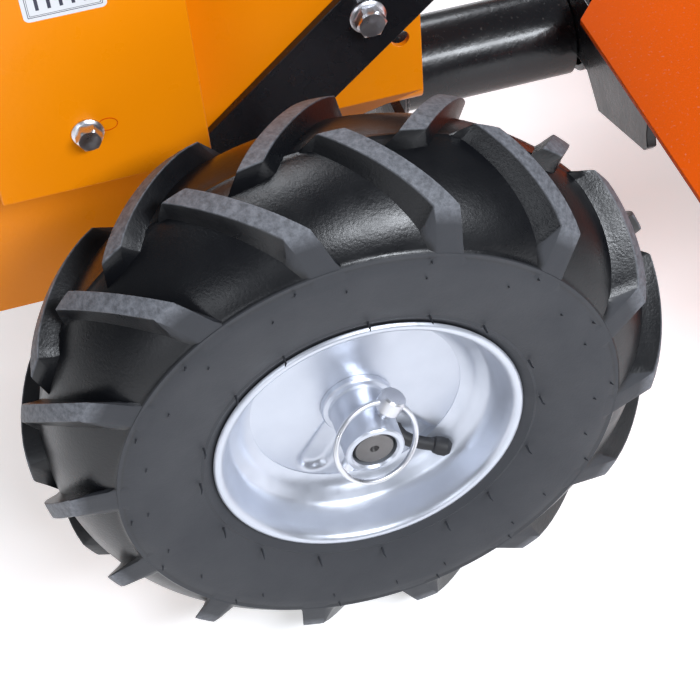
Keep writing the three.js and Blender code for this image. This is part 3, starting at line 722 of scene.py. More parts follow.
def worked_metal(metal: Metal) -> bpy.types.Material:
    """Metal: cloudy shade, uneven gloss and a grain of the given size and depth."""
    material = bpy.data.materials.new(metal.name)
    material.use_nodes = True
    nodes, links = material.node_tree.nodes, material.node_tree.links
    nodes.clear()
    where = nodes.new("ShaderNodeTexCoord")
    where.label = "place on the machine"
    cloud = nodes.new("ShaderNodeTexNoise")
    cloud.label = "cloudy shade"
    cloud.inputs["Scale"].default_value = 55.0
    cloud.inputs["Detail"].default_value = 6.0
    tint = nodes.new("ShaderNodeMix")
    tint.label = "metal shade"
    tint.data_type = "RGBA"
    tint.inputs["A"].default_value = rgba(metal.colour)
    tint.inputs["B"].default_value = rgba(metal.shade)
    wear = nodes.new("ShaderNodeTexNoise")
    wear.label = "handling marks"
    wear.inputs["Scale"].default_value = 120.0
    wear.inputs["Detail"].default_value = 7.0
    gloss = nodes.new("ShaderNodeMapRange")
    gloss.label = "uneven gloss"
    gloss.inputs["From Min"].default_value = 0.3
    gloss.inputs["From Max"].default_value = 0.7
    gloss.inputs["To Min"].default_value = metal.gloss[0]
    gloss.inputs["To Max"].default_value = metal.gloss[1]
    grain = nodes.new("ShaderNodeTexNoise")
    grain.label = "surface grain"
    grain.inputs["Scale"].default_value = metal.grain
    grain.inputs["Detail"].default_value = 5.0
    relief = nodes.new("ShaderNodeBump")
    relief.label = "grain relief"
    relief.inputs["Strength"].default_value = metal.depth
    relief.inputs["Distance"].default_value = 0.001
    skin = nodes.new("ShaderNodeBsdfPrincipled")
    skin.label = "metal"
    skin.inputs["Metallic"].default_value = metal.metallic
    out = nodes.new("ShaderNodeOutputMaterial")
    out.label = "surface"
    links.new(where.outputs["Object"], cloud.inputs["Vector"])
    links.new(cloud.outputs["Fac"], tint.inputs["Factor"])
    links.new(tint.outputs["Result"], skin.inputs["Base Color"])
    links.new(where.outputs["Object"], wear.inputs["Vector"])
    links.new(wear.outputs["Fac"], gloss.inputs["Value"])
    links.new(gloss.outputs["Result"], skin.inputs["Roughness"])
    links.new(where.outputs["Object"], grain.inputs["Vector"])
    links.new(grain.outputs["Fac"], relief.inputs["Height"])
    links.new(relief.outputs["Normal"], skin.inputs["Normal"])
    links.new(skin.outputs["BSDF"], out.inputs["Surface"])
    lay_out(nodes, {
        "Place": [where],
        "Shade": [cloud, tint],
        "Gloss": [wear, gloss],
        "Relief": [grain, relief],
        "Result": [skin, out],
    })
    return material


def moulded_plastic(plastic: Plastic) -> bpy.types.Material:
    """Plastic with a fine spark-eroded grain and a slight drift of gloss."""
    material = bpy.data.materials.new(plastic.name)
    material.use_nodes = True
    nodes, links = material.node_tree.nodes, material.node_tree.links
    nodes.clear()
    where = nodes.new("ShaderNodeTexCoord")
    where.label = "place on the machine"
    drift = nodes.new("ShaderNodeTexNoise")
    drift.label = "drift of shade"
    drift.inputs["Scale"].default_value = 24.0
    tint = nodes.new("ShaderNodeMix")
    tint.label = "plastic shade"
    tint.data_type = "RGBA"
    tint.inputs["A"].default_value = rgba(plastic.colour)
    tint.inputs["B"].default_value = rgba(tuple(0.8 * c for c in plastic.colour))
    gloss = nodes.new("ShaderNodeMapRange")
    gloss.label = "gloss"
    gloss.inputs["To Min"].default_value = plastic.gloss - 0.08
    gloss.inputs["To Max"].default_value = plastic.gloss + 0.08
    grain = nodes.new("ShaderNodeTexVoronoi")
    grain.label = "mould grain"
    grain.inputs["Scale"].default_value = plastic.grain
    relief = nodes.new("ShaderNodeBump")
    relief.label = "grain relief"
    relief.inputs["Strength"].default_value = plastic.depth
    relief.inputs["Distance"].default_value = 0.001
    skin = nodes.new("ShaderNodeBsdfPrincipled")
    skin.label = "plastic"
    skin.inputs["Emission Color"].default_value = (1.0, 1.0, 1.0, 1.0)
    skin.inputs["Emission Strength"].default_value = plastic.glow
    out = nodes.new("ShaderNodeOutputMaterial")
    out.label = "surface"
    links.new(where.outputs["Object"], drift.inputs["Vector"])
    links.new(drift.outputs["Fac"], tint.inputs["Factor"])
    links.new(drift.outputs["Fac"], gloss.inputs["Value"])
    links.new(tint.outputs["Result"], skin.inputs["Base Color"])
    links.new(gloss.outputs["Result"], skin.inputs["Roughness"])
    links.new(where.outputs["Object"], grain.inputs["Vector"])
    links.new(grain.outputs["Distance"], relief.inputs["Height"])
    links.new(relief.outputs["Normal"], skin.inputs["Normal"])
    links.new(skin.outputs["BSDF"], out.inputs["Surface"])
    lay_out(nodes, {
        "Place": [where],
        "Shade": [drift, tint],
        "Gloss": [gloss],
        "Relief": [grain, relief],
        "Result": [skin, out],
    })
    return material


FINISHES = {
    Finish.PANEL: painted_steel(
        Paint("Orange panel paint", (0.92, 0.275, 0.0015), (0.87, 0.25, 0.001), (0.26, 0.38), 0.03, 0.05, 0.2)
    ),
    # The deck paint is the panel's orange darkened. The orange is the paint; the darkening is painted shade
    # of a deck top turned away from the light.
    Finish.DECK: painted_steel(
        Paint("Orange deck paint", (0.66, 0.087, 0.0002), (0.6, 0.077, 0.0002), (0.42, 0.52), 0.0, 0.05, 0.06)
    ),
    Finish.BLACK: painted_steel(
        Paint("Black tube paint", (0.006, 0.006, 0.008), (0.009, 0.009, 0.011), (0.22, 0.34), 0.1, 0.08, 0.4)
    ),
    Finish.RIM: worked_metal(
        Metal("Silver rim paint", (0.6, 0.63, 0.7), (0.52, 0.55, 0.62), (0.28, 0.38), 300.0, 0.015, 0.7)
    ),
    Finish.TYRE: moulded_rubber(Rubber("Tyre rubber")),
    Finish.SOFT: moulded_rubber(Rubber("Soft black rubber", (0.02, 0.02, 0.022), gloss=(0.5, 0.66))),
    Finish.ZINC: worked_metal(
        Metal("Zinc plate", (0.78, 0.8, 0.84), (0.6, 0.6, 0.64), (0.26, 0.42), 500.0, 0.1)
    ),
    Finish.STEEL: worked_metal(
        Metal("Turned steel", (0.2, 0.19, 0.19), (0.13, 0.13, 0.13), (0.34, 0.5), 700.0, 0.1)
    ),
    Finish.ALLOY: worked_metal(
        Metal("Cast aluminium", (0.5, 0.51, 0.53), (0.38, 0.39, 0.41), (0.48, 0.66), 420.0, 0.4)
    ),
    Finish.IRON: worked_metal(
        Metal("Cast iron", (0.1, 0.1, 0.105), (0.06, 0.06, 0.064), (0.5, 0.7), 300.0, 0.5)
    ),
    Finish.PLASTIC: moulded_plastic(Plastic("Black plastic", (0.018, 0.018, 0.02), 0.5)),
}
LABEL_FILM = moulded_plastic(Plastic("White label film", (0.86, 0.87, 0.9), 0.35, 900.0, 0.02))
LABEL_INK = moulded_plastic(Plastic("Dark label print", (0.05, 0.05, 0.08), 0.4, 900.0, 0.02))
ROUND_TREE = round_tree()
ROW_TREE = row_tree()


# ---------- pieces ----------


def piece(
    name: str,
    shape: Shape,
    body: str,
    finish: Finish,
    *nodes: str,
    edge: float = 0.0,
    soft: float = SMOOTH_BELOW,
) -> bpy.types.Object:
    """Makes a finished piece of the machine.

    Args:
        name: The piece's name.
        shape: Its surface, in machine millimetres.
        body: The CAD body it rides on.
        finish: Its finish.
        nodes: The CAD nodes it stands for.
        edge: Radius of its rounded edges in millimetres, or 0 for none.
        soft: Angle in radians under which edges are shaded smooth.

    Returns:
        The new object.
    """
    shape.tidy().moved(TO_FRAME)
    mesh = shape.mesh(name)
    mesh.materials.clear()
    mesh.materials.append(FINISHES[finish])
    for face in mesh.polygons:
        face.material_index = 0
    mesh.shade_smooth()
    mesh.set_sharp_from_angle(angle=soft)
    obj = bpy.data.objects.new(name, mesh)
    bpy.context.scene.collection.objects.link(obj)
    if edge > 0:
        bevel = obj.modifiers.new("rounded edges", "BEVEL")
        bevel.width = edge * MM
        bevel.segments = 3
        bevel.limit_method = "ANGLE"
        bevel.angle_limit = SMOOTH_BELOW
        bevel.harden_normals = True
    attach(obj, body)
    if nodes:
        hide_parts(*nodes)
    LOG.info("%s rides on %s with %d faces", name, body, len(mesh.polygons))
    return obj


def body_of(node: str) -> str:
    """The CAD body that a node rides on."""
    return frame["nodes"][node]["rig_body"]


def round_off(node: str, finish: Finish, edge: float = 1.0, *extra: bpy.types.Mesh) -> bpy.types.Object:
    """Stands a CAD node's own shape in again with rounded edges, with more meshes joined to it."""
    shape = node_copy(node)
    for mesh in extra:
        shape.add(mesh)
    return piece(node + "_finished", shape, body_of(node), finish, node, edge=edge)


def ring_of(
    part: Shape,
    count: int,
    axis: Axis,
    centre: Point,
    finish: Finish,
    first: float = 0.0,
    uneven: float = 0.0,
    seed: int = 0,
) -> bpy.types.Mesh:
    """A part repeated round an axis.

    Args:
        part: The part, about the origin and at an angle of nought.
        count: How many there are.
        axis: The axis that they stand round.
        centre: A point on that axis.
        finish: The finish of every part.
        first: Angle of the first part in radians.
        uneven: Largest random shift of a part in radians.
        seed: Choice of the random shifts.

    Returns:
        One mesh of all the parts, in machine millimetres.
    """
    heading = {Axis.X: (1.0, 0.0, 0.0), Axis.Y: (0.0, 1.0, 0.0), Axis.Z: (0.0, 0.0, 1.0)}[axis]
    return grown(part, ROUND_TREE, {
        "Count": count, "Pitch": 2 * math.pi / count, "First": first, "Uneven": uneven, "Seed": seed,
        "Axis": heading, "Centre": tuple(float(c) for c in centre), "Finish": FINISHES[finish],
    })


def row_of(part: Shape, count: int, step: Point, finish: Finish) -> bpy.types.Mesh:
    """A part repeated along a straight row."""
    sizes = {"Count": count, "Step": tuple(float(s) for s in step), "Finish": FINISHES[finish]}
    return grown(part, ROW_TREE, sizes)


def hexagon_bolt(across: float, flange: float, height: float, axis: Axis, centre: Point, way: float) -> Shape:
    """A flanged hexagon head.

    Args:
        across: Width across the flats.
        flange: Radius of the flange.
        height: Height of the head over its underside.
        axis: The axis that it stands along.
        centre: Middle of its underside.
        way: 1 if its top looks along the axis, or -1 if it looks back.

    Returns:
        The head, in machine millimetres.
    """
    rings = [(flange, 0.0), (flange, 0.9), (flange - 1.1, 1.9), (across / 2 + 0.4, 2.4)]
    shape = Shape().lathe([(0, 0.0), *rings, (0, 2.4)], Axis.Z, sides=40)
    head = []
    levels = [(1.6, 1.0, 0.0), (height - 1.0, 1.0, 0.0), (height, 0.94, 0.85), (height, 0.6, 1.0)]
    for z, shrink, round_part in levels:
        row = []
        for i in range(36):
            turn = 2 * math.pi * i / 36
            inside = (turn % (math.pi / 3)) - math.pi / 6
            flat = across / 2 / math.cos(inside)
            reach = shrink * (flat * (1 - round_part) + across / 2 * round_part)
            row.append((reach * math.cos(turn), reach * math.sin(turn), z))
        head.append(row)
    head.append([(0.55 * x, 0.55 * y, height - 0.5) for x, y, _ in head[-1]])
    shape.rows(head)
    turn = {
        Axis.X: Matrix.Rotation(math.pi / 2 * way, 4, "Y"),
        Axis.Y: Matrix.Rotation(-math.pi / 2 * way, 4, "X"),
        Axis.Z: Matrix.Rotation(0.0 if way > 0 else math.pi, 4, "X"),
    }[axis]
    return shape.moved(Matrix.Translation(Vector(centre)) @ turn)


# ---------- wheels ----------


@dataclass
class Tyre:
    """A traction tyre with two staggered sets of slanting lugs."""

    crown: float = 175.5
    wide: float = 132.0
    half_width: float = 54.4
    roundness: float = 1.8
    lugs: int = 14
    lug_height: float = 10.5
    lug_half: float = 7.2
    starts: tuple[float, float] = (2.5, -8.0)  # where the outer and the inner lugs begin, from the middle
    nub_rings: tuple[Point, ...] = ((97.5, 16, 3), (128.0, 20, 5), (138.0, 14, 9))  # radius, count, seed
    nub_shift: float = 0.07
    wall_edge: float = 141.0  # the flat side wall lies within this radius
    shoulder: float = 46.4
    first: float = 19.2
    sweep: float = 22.5
    shoulder_lead: float = 0.13  # share of the sweep that is left where the lug drops down the side

    def surface(self, across: float) -> float:
        """Radius of the carcass at a distance from its middle plane."""
        part = min(abs(across) / self.half_width, 1.0)
        return self.wide + (self.crown - self.wide) * (1 - part ** self.roundness) ** (1 / self.roundness)

    def lug_top(self, across: float) -> float:
        """Radius of a lug's top, which stands a little higher towards the shoulder."""
        part = min(max(across / self.shoulder, 0.0), 1.0)
        return self.surface(across) + self.lug_height + 5.6 * part ** 2.6

    def carcass(self) -> Shape:
        """The tyre without lugs, with a parting line on the crown and a moulded ring on each side."""
        half = []
        for i in range(61):
            across = self.half_width * math.sin(i / 60 * math.pi / 2)
            radius = self.surface(across)
            ridge = 1.1 * math.exp(-(((radius - 142.0) / 1.2) ** 2))
            seam = 0.5 * math.exp(-((across / 0.8) ** 2))
            half.append((radius + 0.5 * ridge + seam, min(across + ridge, 54.6)))
        half += [(128.0, 54.4), (121.0, 54.1), (113.0, 53.0), (106.0, 51.3), (100.0, 49.2), (96.5, 47.6)]
        half += [(95.0, 47.9), (93.6, 46.8), (91.0, 44.6), (88.0, 43.0), (86.0, 42.0)]
        inside = [(86.0, 28.0), (110.0, 40.0), (132.0, 46.0), (155.0, 34.0), (163.5, 0.0)]
        mirrored = [(r, -a) for r, a in reversed(inside[:-1])]
        outside = [(r, -a) for r, a in reversed(half)]
        return Shape().lathe([*outside, *half[1:], *inside, *mirrored], Axis.Y, sides=224)

    def lug(self, side: float, start: float) -> Shape:
        """One lug: from its start near the middle it slants to the shoulder and drops down the side."""
        shoulder, steps = self.shoulder, 12
        toe, rise = start - 3.4, start - 1.6
        stations = [(toe, self.surface(toe) - 2.5), (rise, self.surface(rise) + 4.0)]
        stations += [(start - 0.7, self.surface(start) + self.lug_height - 0.9)]
        for i in range(steps + 1):
            across = start + (shoulder - start) * i / steps
            stations.append((across, self.lug_top(across)))
        stations += [(47.2, 167.4), (49.4, 158.0), (51.8, 147.5), (53.6, 139.5), (54.2, 134.0)]
        section = [(1.7, -0.35), (1.42, 0.0), (1.2, 0.3), (1.0, 0.92), (0.93, 1.0), (0.45, 1.01)]
        section += [(-s, h) for s, h in reversed(section)]
        length = [0.0]
        for (a0, r0), (a1, r1) in zip(stations, stations[1:]):
            length.append(length[-1] + math.hypot(a1 - a0, r1 - r0))
        rows = []
        for (across, top), run in zip(stations, length):
            top_run, end_run = length[-6], length[-2]
            if run <= top_run:
                lead = self.sweep * (1 - (1 - self.shoulder_lead) * run / top_run)
            else:
                lead = self.sweep * self.shoulder_lead * (1 - min((run - top_run) / (end_run - top_run), 1.0))
            base = min(self.surface(abs(across)), top)
            row = []
            for spread, height in section:
                radius = base + (top - base) * height - (2.0 if height < 0 else 0.0)
                turn = math.radians(self.first + lead) + spread * self.lug_half / radius
                row.append((radius * math.cos(turn), side * across, radius * math.sin(turn)))
            rows.append(row)
        return Shape().rows(rows)

    def build(self) -> Shape:
        """The whole tyre about the origin, with its axle on Y."""
        shape = self.carcass()
        pitch = math.pi / self.lugs
        for side, first, start in ((-1.0, 0.0, self.starts[0]), (1.0, -pitch, self.starts[1])):
            shape.add(ring_of(self.lug(side, start), self.lugs, Axis.Y, (0, 0, 0), Finish.TYRE, first))
            for ring, count, seed in self.nub_rings:
                path = [(ring, side * 49.0, 0.0), (ring, side * 54.2, 0.0), (ring + 0.8, side * 56.2, 0.6)]
                nub = Shape().bar(path, [0.75, 0.55, 0.3], 6)
                draw = seed + int(side)
                nubs = ring_of(nub, count, Axis.Y, (0, 0, 0), Finish.TYRE, uneven=self.nub_shift, seed=draw)
                shape.add(nubs)
        return shape

    def dress(self, obj: bpy.types.Object, middle: float) -> None:
        """Marks the worn tops and the flat side walls for the rubber finish."""
        mesh = obj.data
        worn = mesh.attributes.new("worn_top", "FLOAT", "POINT")
        wall = mesh.attributes.new("side_wall", "FLOAT", "POINT")
        for i, vertex in enumerate(mesh.vertices):
            place = FROM_FRAME @ vertex.co
            across = place.y - middle
            radius = math.hypot(place.x, place.z - AXLE_HEIGHT)
            lift = radius - self.surface(across)
            full = self.lug_top(abs(across)) - self.surface(across)
            worn.data[i].value = min(max((lift - full + 0.7) / 0.4, 0.0), 1.0)
            end_face = 1.0 if abs(across) > self.shoulder + 0.4 and lift > 1.5 else 0.0
            wall.data[i].value = max(min(max((self.wall_edge - radius) / 2.0, 0.0), 1.0), end_face)


@dataclass
class Wheel:
    """One driven wheel: tyre, pressed rim, hub, linch pin with its ring, and valve."""

    side: Side
    track: float = 275.0
    pin_turn: float = 58.0
    pin_back: float = 41.0
    pin_reach: float = 26.0
    ring_radius: float = 24.5
    ring_tilt: float = 22.0
    disc: float = 15.0

    def place(self) -> Matrix:
        """From a wheel about the origin, its outer face towards -Y, to its place on the machine."""
        turn = Matrix.Identity(4) if self.side is Side.RIGHT else Matrix.Rotation(math.pi, 4, "Z")
        return Matrix.Translation((0, self.side.value * self.track, AXLE_HEIGHT)) @ turn

    def rim(self) -> Shape:
        """The pressed rim, with a pocket pressed into its disc on each side of the hub."""
        bowl = [(62.0, 15.4), (65.5, 16.6), (69.0, 19.6), (71.5, 22.4), (75.0, 24.4), (77.2, 27.0)]
        wall = [(79.2, 32.0), (81.4, 39.0), (83.0, 43.8)]
        lip = [(84.6, 46.3), (86.6, 47.2), (88.4, 46.6), (89.2, 45.2), (88.6, 44.3), (85.7, 42.5)]
        far_lip = [(83.7, 0.0), (85.7, -42.5), (89.0, -45.0), (89.0, -47.0), (82.7, -47.0)]
        inside = [(80.7, -39.0), (76.7, 4.0), (68.0, 12.2), (62.0, 12.2)]
        sheet = [*bowl, *wall, *lip, *far_lip, *inside]
        disc_radii = [17.3, 19.0, *[21.0 + 1.17 * i for i in range(35)], 61.9]
        sides = 192
        rows = []
        for i in range(sides):
            turn = 2 * math.pi * i / sides
            front = []
            for radius in disc_radii:
                across = self.disc - self.pocket(radius, turn)
                front.append((radius, across))
            profile = [(r, a - 2.8) for r, a in reversed(front)] + front
            loop = profile + sheet
            rows.append([(r * math.cos(turn), -a, r * math.sin(turn)) for r, a in loop])
        return Shape().rows(rows, ring=True)

    def pocket(self, radius: float, turn: float) -> float:
        """Depth of the pressed pockets and of the low step round the hub, at a place on the disc."""
        depth = 0.0
        for middle, reach, half in ((-124.0, 35.0, 23.0), (-52.0, 50.0, 22.0)):
            angle = math.radians(middle)
            u = radius * math.cos(turn) - reach * math.cos(angle)
            v = radius * math.sin(turn) - reach * math.sin(angle)
            along = abs(u * math.cos(angle) + v * math.sin(angle))
            beside = abs(v * math.cos(angle) - u * math.sin(angle))
            edge = math.hypot(max(along - half + 9.0, 0.0), beside) - 9.0
            depth = max(depth, 4.2 / (1 + math.exp(edge * 1.3)))
        return depth

    def hub(self) -> Shape:
        """The hub tube with its weld collar and chamfered mouth."""
        mouth = [(13.9, 54.0), (16.2, 54.0), (17.0, 53.2)]
        collar = [(17.0, 21.0), (17.8, 19.8), (20.4, 19.4), (21.2, 18.4), (21.2, 15.2), (17.2, 15.0)]
        profile = [*mouth, *collar, (17.0, -32.0), (12.8, -32.0), (12.8, 52.8)]
        return Shape().lathe([(r, -a) for r, a in profile], Axis.Y, sides=96)

    def pin(self) -> Shape:
        """The linch pin along X: a shank with a rounded nose and a headed end."""
        shape = Shape()
        nose = [(0, -30.0), (2.4, -29.6), (4.0, -27.0), (4.0, 20.8), (0, 20.8)]
        shape.lathe(nose, Axis.X, sides=32)
        head = [(0, 20.4), (6.4, 20.4), (7.5, 21.4), (7.5, 29.8), (6.6, 31.0), (3.0, 31.3), (0, 31.3)]
        shape.lathe(head, Axis.X, sides=40)
        return shape

    def valve(self) -> Shape:
        """The tyre valve: it leans out over the disc and ends in a capped bulb."""
        foot = [(43.0, -60.0, 9.0, 5.2), (44.0, -59.6, 13.5, 4.8), (47.5, -58.0, 17.0, 4.3)]
        stem = [(52.0, -55.6, 18.8, 4.0), (59.0, -51.5, 20.6, 3.9), (63.5, -49.0, 21.8, 3.9)]
        cap = [(64.5, -48.4, 22.2, 5.0), (67.0, -47.2, 23.2, 5.6)]
        cap += [(70.5, -45.6, 24.8, 5.4), (72.6, -44.8, 25.8, 3.4)]
        stops = [*foot, *stem, *cap]  # radius from the axle, degrees round it, distance outwards, thickness
        path = [(r * math.cos(math.radians(t)), -a, r * math.sin(math.radians(t))) for r, t, a, _ in stops]
        return Shape().bar(path, [stop[3] for stop in stops], 24)

    def build(self) -> None:
        """Makes the wheel's pieces."""
        word, place = self.side.word, self.place()
        tyre = Tyre()
        middle = self.side.value * self.track
        rubber = tyre.build().moved(Matrix.Translation((0, middle, AXLE_HEIGHT)))
        cover = piece(f"tyre_tread_{word}", rubber, "wheels", Finish.TYRE, f"tyre_{word}")
        tyre.dress(cover, middle)
        rim = self.rim().moved(place)
        piece(f"rim_pressing_{word}", rim, "wheels", Finish.RIM, f"rim_{word}", soft=PRESSED)
        piece(f"hub_tube_{word}", self.hub().moved(place), "wheels", Finish.RIM, f"hub_{word}")
        piece(f"tyre_valve_{word}", self.valve().moved(place), "wheels", Finish.SOFT, f"valve_{word}")
        turn = Matrix.Rotation(math.radians(-self.pin_turn), 4, "Y")
        holder = place @ Matrix.Translation((0, -self.pin_back, 0)) @ turn
        piece(f"linch_shank_{word}", self.pin().moved(holder), "wheels", Finish.ZINC, f"linch_pin_{word}")
        tilt = Matrix.Rotation(math.radians(self.ring_tilt), 4, "Z")
        ring = Shape().hoop(self.ring_radius, 1.6, Axis.Y, (-self.ring_radius, 0, 0))
        ring.moved(holder @ Matrix.Translation((self.pin_reach, 0, 0)) @ tilt)
        piece(f"spring_ring_{word}", ring, f"{word}_ring", Finish.ZINC, f"linch_ring_{word}")


# ---------- tractor frame ----------


@dataclass
class Panels:
    """The orange sheet metal, the belt guard with its blank label, and the brace."""

    plate_y: float = 122.0
    sheet: float = 4.0
    fold: float = 10.0
    plate_front: float = 95.0
    step_x: float = 36.0
    step_z: float = 251.0
    top: float = 430.0
    guard_face: float = -172.3
    brace_face: float = -132.4
    label_x: tuple[float, float] = (-126.8, -83.7)
    label_z: tuple[float, float] = (398.0, 422.0)
    input_hole: tuple[float, float] = (-104.0, 352.0)
    spare_hole: tuple[float, float] = (82.0, 301.5)
    brace_bolt: tuple[float, float] = (61.8, 326.9)
    guard_bolt: tuple[float, float] = (-109.0, 322.0)

    def side_plate(self, side: Side) -> None:
        """A side plate whose front part is folded inwards along its lower edge."""
        outer, inner = self.plate_y + self.sheet, self.plate_y
        low, high = (-outer, -inner) if side is Side.RIGHT else (inner, outer)
        bend = self.step_z + self.fold
        outline = [(-260, 164), (-60, 164), (-60, 130), (self.step_x, 130), (self.step_x, bend),
                   (self.plate_front, bend), (self.plate_front, self.top), (-260, self.top)]
        plate = Shape().prism(outline, Axis.Y, low, high)
        holes = [((0.0, AXLE_HEIGHT), 20.5), (self.input_hole, 16.0)]
        holes += [(self.spare_hole, 5.5), (self.brace_bolt, 5.4)]
        for place, radius in holes:
            plate.cut(Shape().rod(radius, Axis.Y, low - 5, high + 5, place))
        outside, inside = [], []
        for i in range(13):
            turn = math.pi / 2 * i / 12
            outside.append((outer - self.fold * (1 - math.cos(turn)), bend - self.fold * math.sin(turn)))
            reach = self.fold - self.sheet
            inside.append((outer - self.fold + reach * math.cos(turn), bend - reach * math.sin(turn)))
        outside.append((self.plate_y - 22.0, self.step_z))
        inside.append((self.plate_y - 22.0, self.step_z + self.sheet))
        lip = [(side.value * y, z) for y, z in [*outside, *reversed(inside)]]
        plate.join(Shape().prism(lip, Axis.X, self.step_x, self.plate_front))
        name = f"side_plate_{side.word}"
        piece(name + "_folded", plate, "frame", Finish.PANEL, name, edge=0.7)

    def guard(self) -> None:
        """The belt guard, a thin ring of painted shade round the slot beside its bolt, and a blank label with
        bars.
        """
        shape = node_copy("belt_guard")
        piece("belt_guard_finished", shape, "frame", Finish.PANEL, "belt_guard", edge=1.8)
        # A thin line in the darker deck orange on the guard face: painted shade at the rim of the slot.
        oval = [(-97.5 + 5.4 * math.cos(t), self.guard_face - 0.05, 324.5 + 4.0 * math.sin(t))
                for t in (2 * math.pi * i / 40 for i in range(41))]
        piece("guard_slot_edge", Shape().bar(oval, 0.28, 8), "frame", Finish.DECK)
        (x0, x1), (z0, z1) = self.label_x, self.label_z
        face = self.guard_face
        film = Shape().prism(rounded_outline((x0, x1), (z0, z1), 3.0), Axis.Y, face - 0.25, face - 0.02)
        self.printed("guard_label_film", film, LABEL_FILM)
        ink = Shape()
        for inset, width in ((2.2, 0.35), (3.1, 0.25)):
            outside = rounded_outline((x0, x1), (z0, z1), 2.2, inset)
            inside = rounded_outline((x0, x1), (z0, z1), 2.2, inset + width)
            for low, high in zip(range(len(outside)), [*range(1, len(outside)), 0]):
                strip = [outside[low], outside[high], inside[high], inside[low]]
                ink.prism(strip, Axis.Y, face - 0.3, face - 0.24)
        bar = Shape().box((x0 + 7.0, x0 + 8.8), (face - 0.3, face - 0.24), (z0 + 6.0, z1 - 6.0))
        ink.add(row_of(bar, 5, (6.2, 0, 0), Finish.BLACK))
        self.printed("guard_label_print", ink, LABEL_INK)

    def printed(self, name: str, shape: Shape, material: bpy.types.Material) -> None:
        """A thin layer of the label."""
        obj = piece(name, shape, "frame", Finish.PLASTIC)
        obj.data.materials[0] = material

    def build(self) -> None:
        """Makes the sheet metal."""
        for side in Side:
            self.side_plate(side)
        self.guard()
        round_off("engine_platform", Finish.PANEL, 1.5)
        round_off("platform_brace", Finish.BLACK, 1.0)
        x, z = self.guard_bolt
        guard_bolt = hexagon_bolt(13.0, 9.0, 8.2, Axis.Y, (x, self.guard_face - 0.1, z), -1)
        piece("guard_bolt_head", guard_bolt, "frame", Finish.ZINC, "guard_bolt")
        x, z = self.brace_bolt
        brace_bolt = hexagon_bolt(16.0, 10.9, 9.6, Axis.Y, (x, self.brace_face, z), -1)
        piece("brace_bolt_head", brace_bolt, "frame", Finish.ZINC, "brace_bolt")


@dataclass
class Neck:
    """The neck tube with its welded plate and collar, and the axle that it stands over."""

    radius: float = 31.75
    bore: float = 27.5
    height: float = 183.0
    rear: float = 76.0
    front: float = 235.5
    axle_end: float = 327.0

    def bead(self, x: float, radius: float, size: float) -> Shape:
        """A rippled weld bead round the tube."""
        rows = []
        sides, ripples = 240, 34
        for i in range(sides):
            turn = 2 * math.pi * i / sides
            swell = size * (1 + 0.16 * abs(math.sin(ripples * turn / 2)))
            row = []
            for k in range(10):
                part = 2 * math.pi * k / 10
                reach = radius + swell * math.cos(part)
                y, z = reach * math.cos(turn), self.height + reach * math.sin(turn)
                row.append((x + swell * math.sin(part), y, z))
            rows.append(row)
        return Shape().rows(rows, ring=True)

    def build(self) -> None:
        """Makes the tube and the axle."""
        r, b = self.radius, self.bore
        collar = [(r, 95.0), (r + 5.6, 95.4), (r + 7.0, 97.0), (r + 7.0, 107.0), (r + 5.6, 108.6), (r, 109.0)]
        mouth = [(r, self.front - 0.6), (r - 0.6, self.front), (b, self.front)]
        profile = [(b, self.rear), (r, self.rear), *collar, *mouth]
        shape = Shape().lathe(profile, Axis.X, (0, 0, self.height), 128)
        shape.box((78, 84), (-121.7, 121.7), (130, 242))
        shape.join(self.bead(110.0, r + 0.6, 2.4)).join(self.bead(85.5, r + 0.8, 3.4))
        piece("neck_tube_welded", shape, "frame", Finish.BLACK, "neck_tube")
        end = self.axle_end
        centre_hole = [(0, end - 3.5), (1.4, end - 2.6), (2.6, end)]
        profile = [*centre_hole, (10.8, end), (11.7, end - 1.2), (12.2, end - 3.0), (12.2, 0.0)]
        mirrored = [(radius, -a) for radius, a in reversed(profile[:-1])]
        axle = Shape().lathe([*profile, *mirrored], Axis.Y, (0, 0, AXLE_HEIGHT), 72)
        tooth = Shape().box((20.0, 24.0), (-8, 8), (-2.2, 2.2))
        axle.lathe([(10.0, -8.0), (20.6, -8.0), (20.6, 8.0), (10.0, 8.0)], Axis.Y, (0, 0, AXLE_HEIGHT), 48)
        axle.add(ring_of(tooth, 14, Axis.Y, (0, 0, AXLE_HEIGHT), Finish.STEEL))
        piece("drive_axle_turned", axle, "wheels", Finish.STEEL, "drive_axle")


# ---------- engine ----------


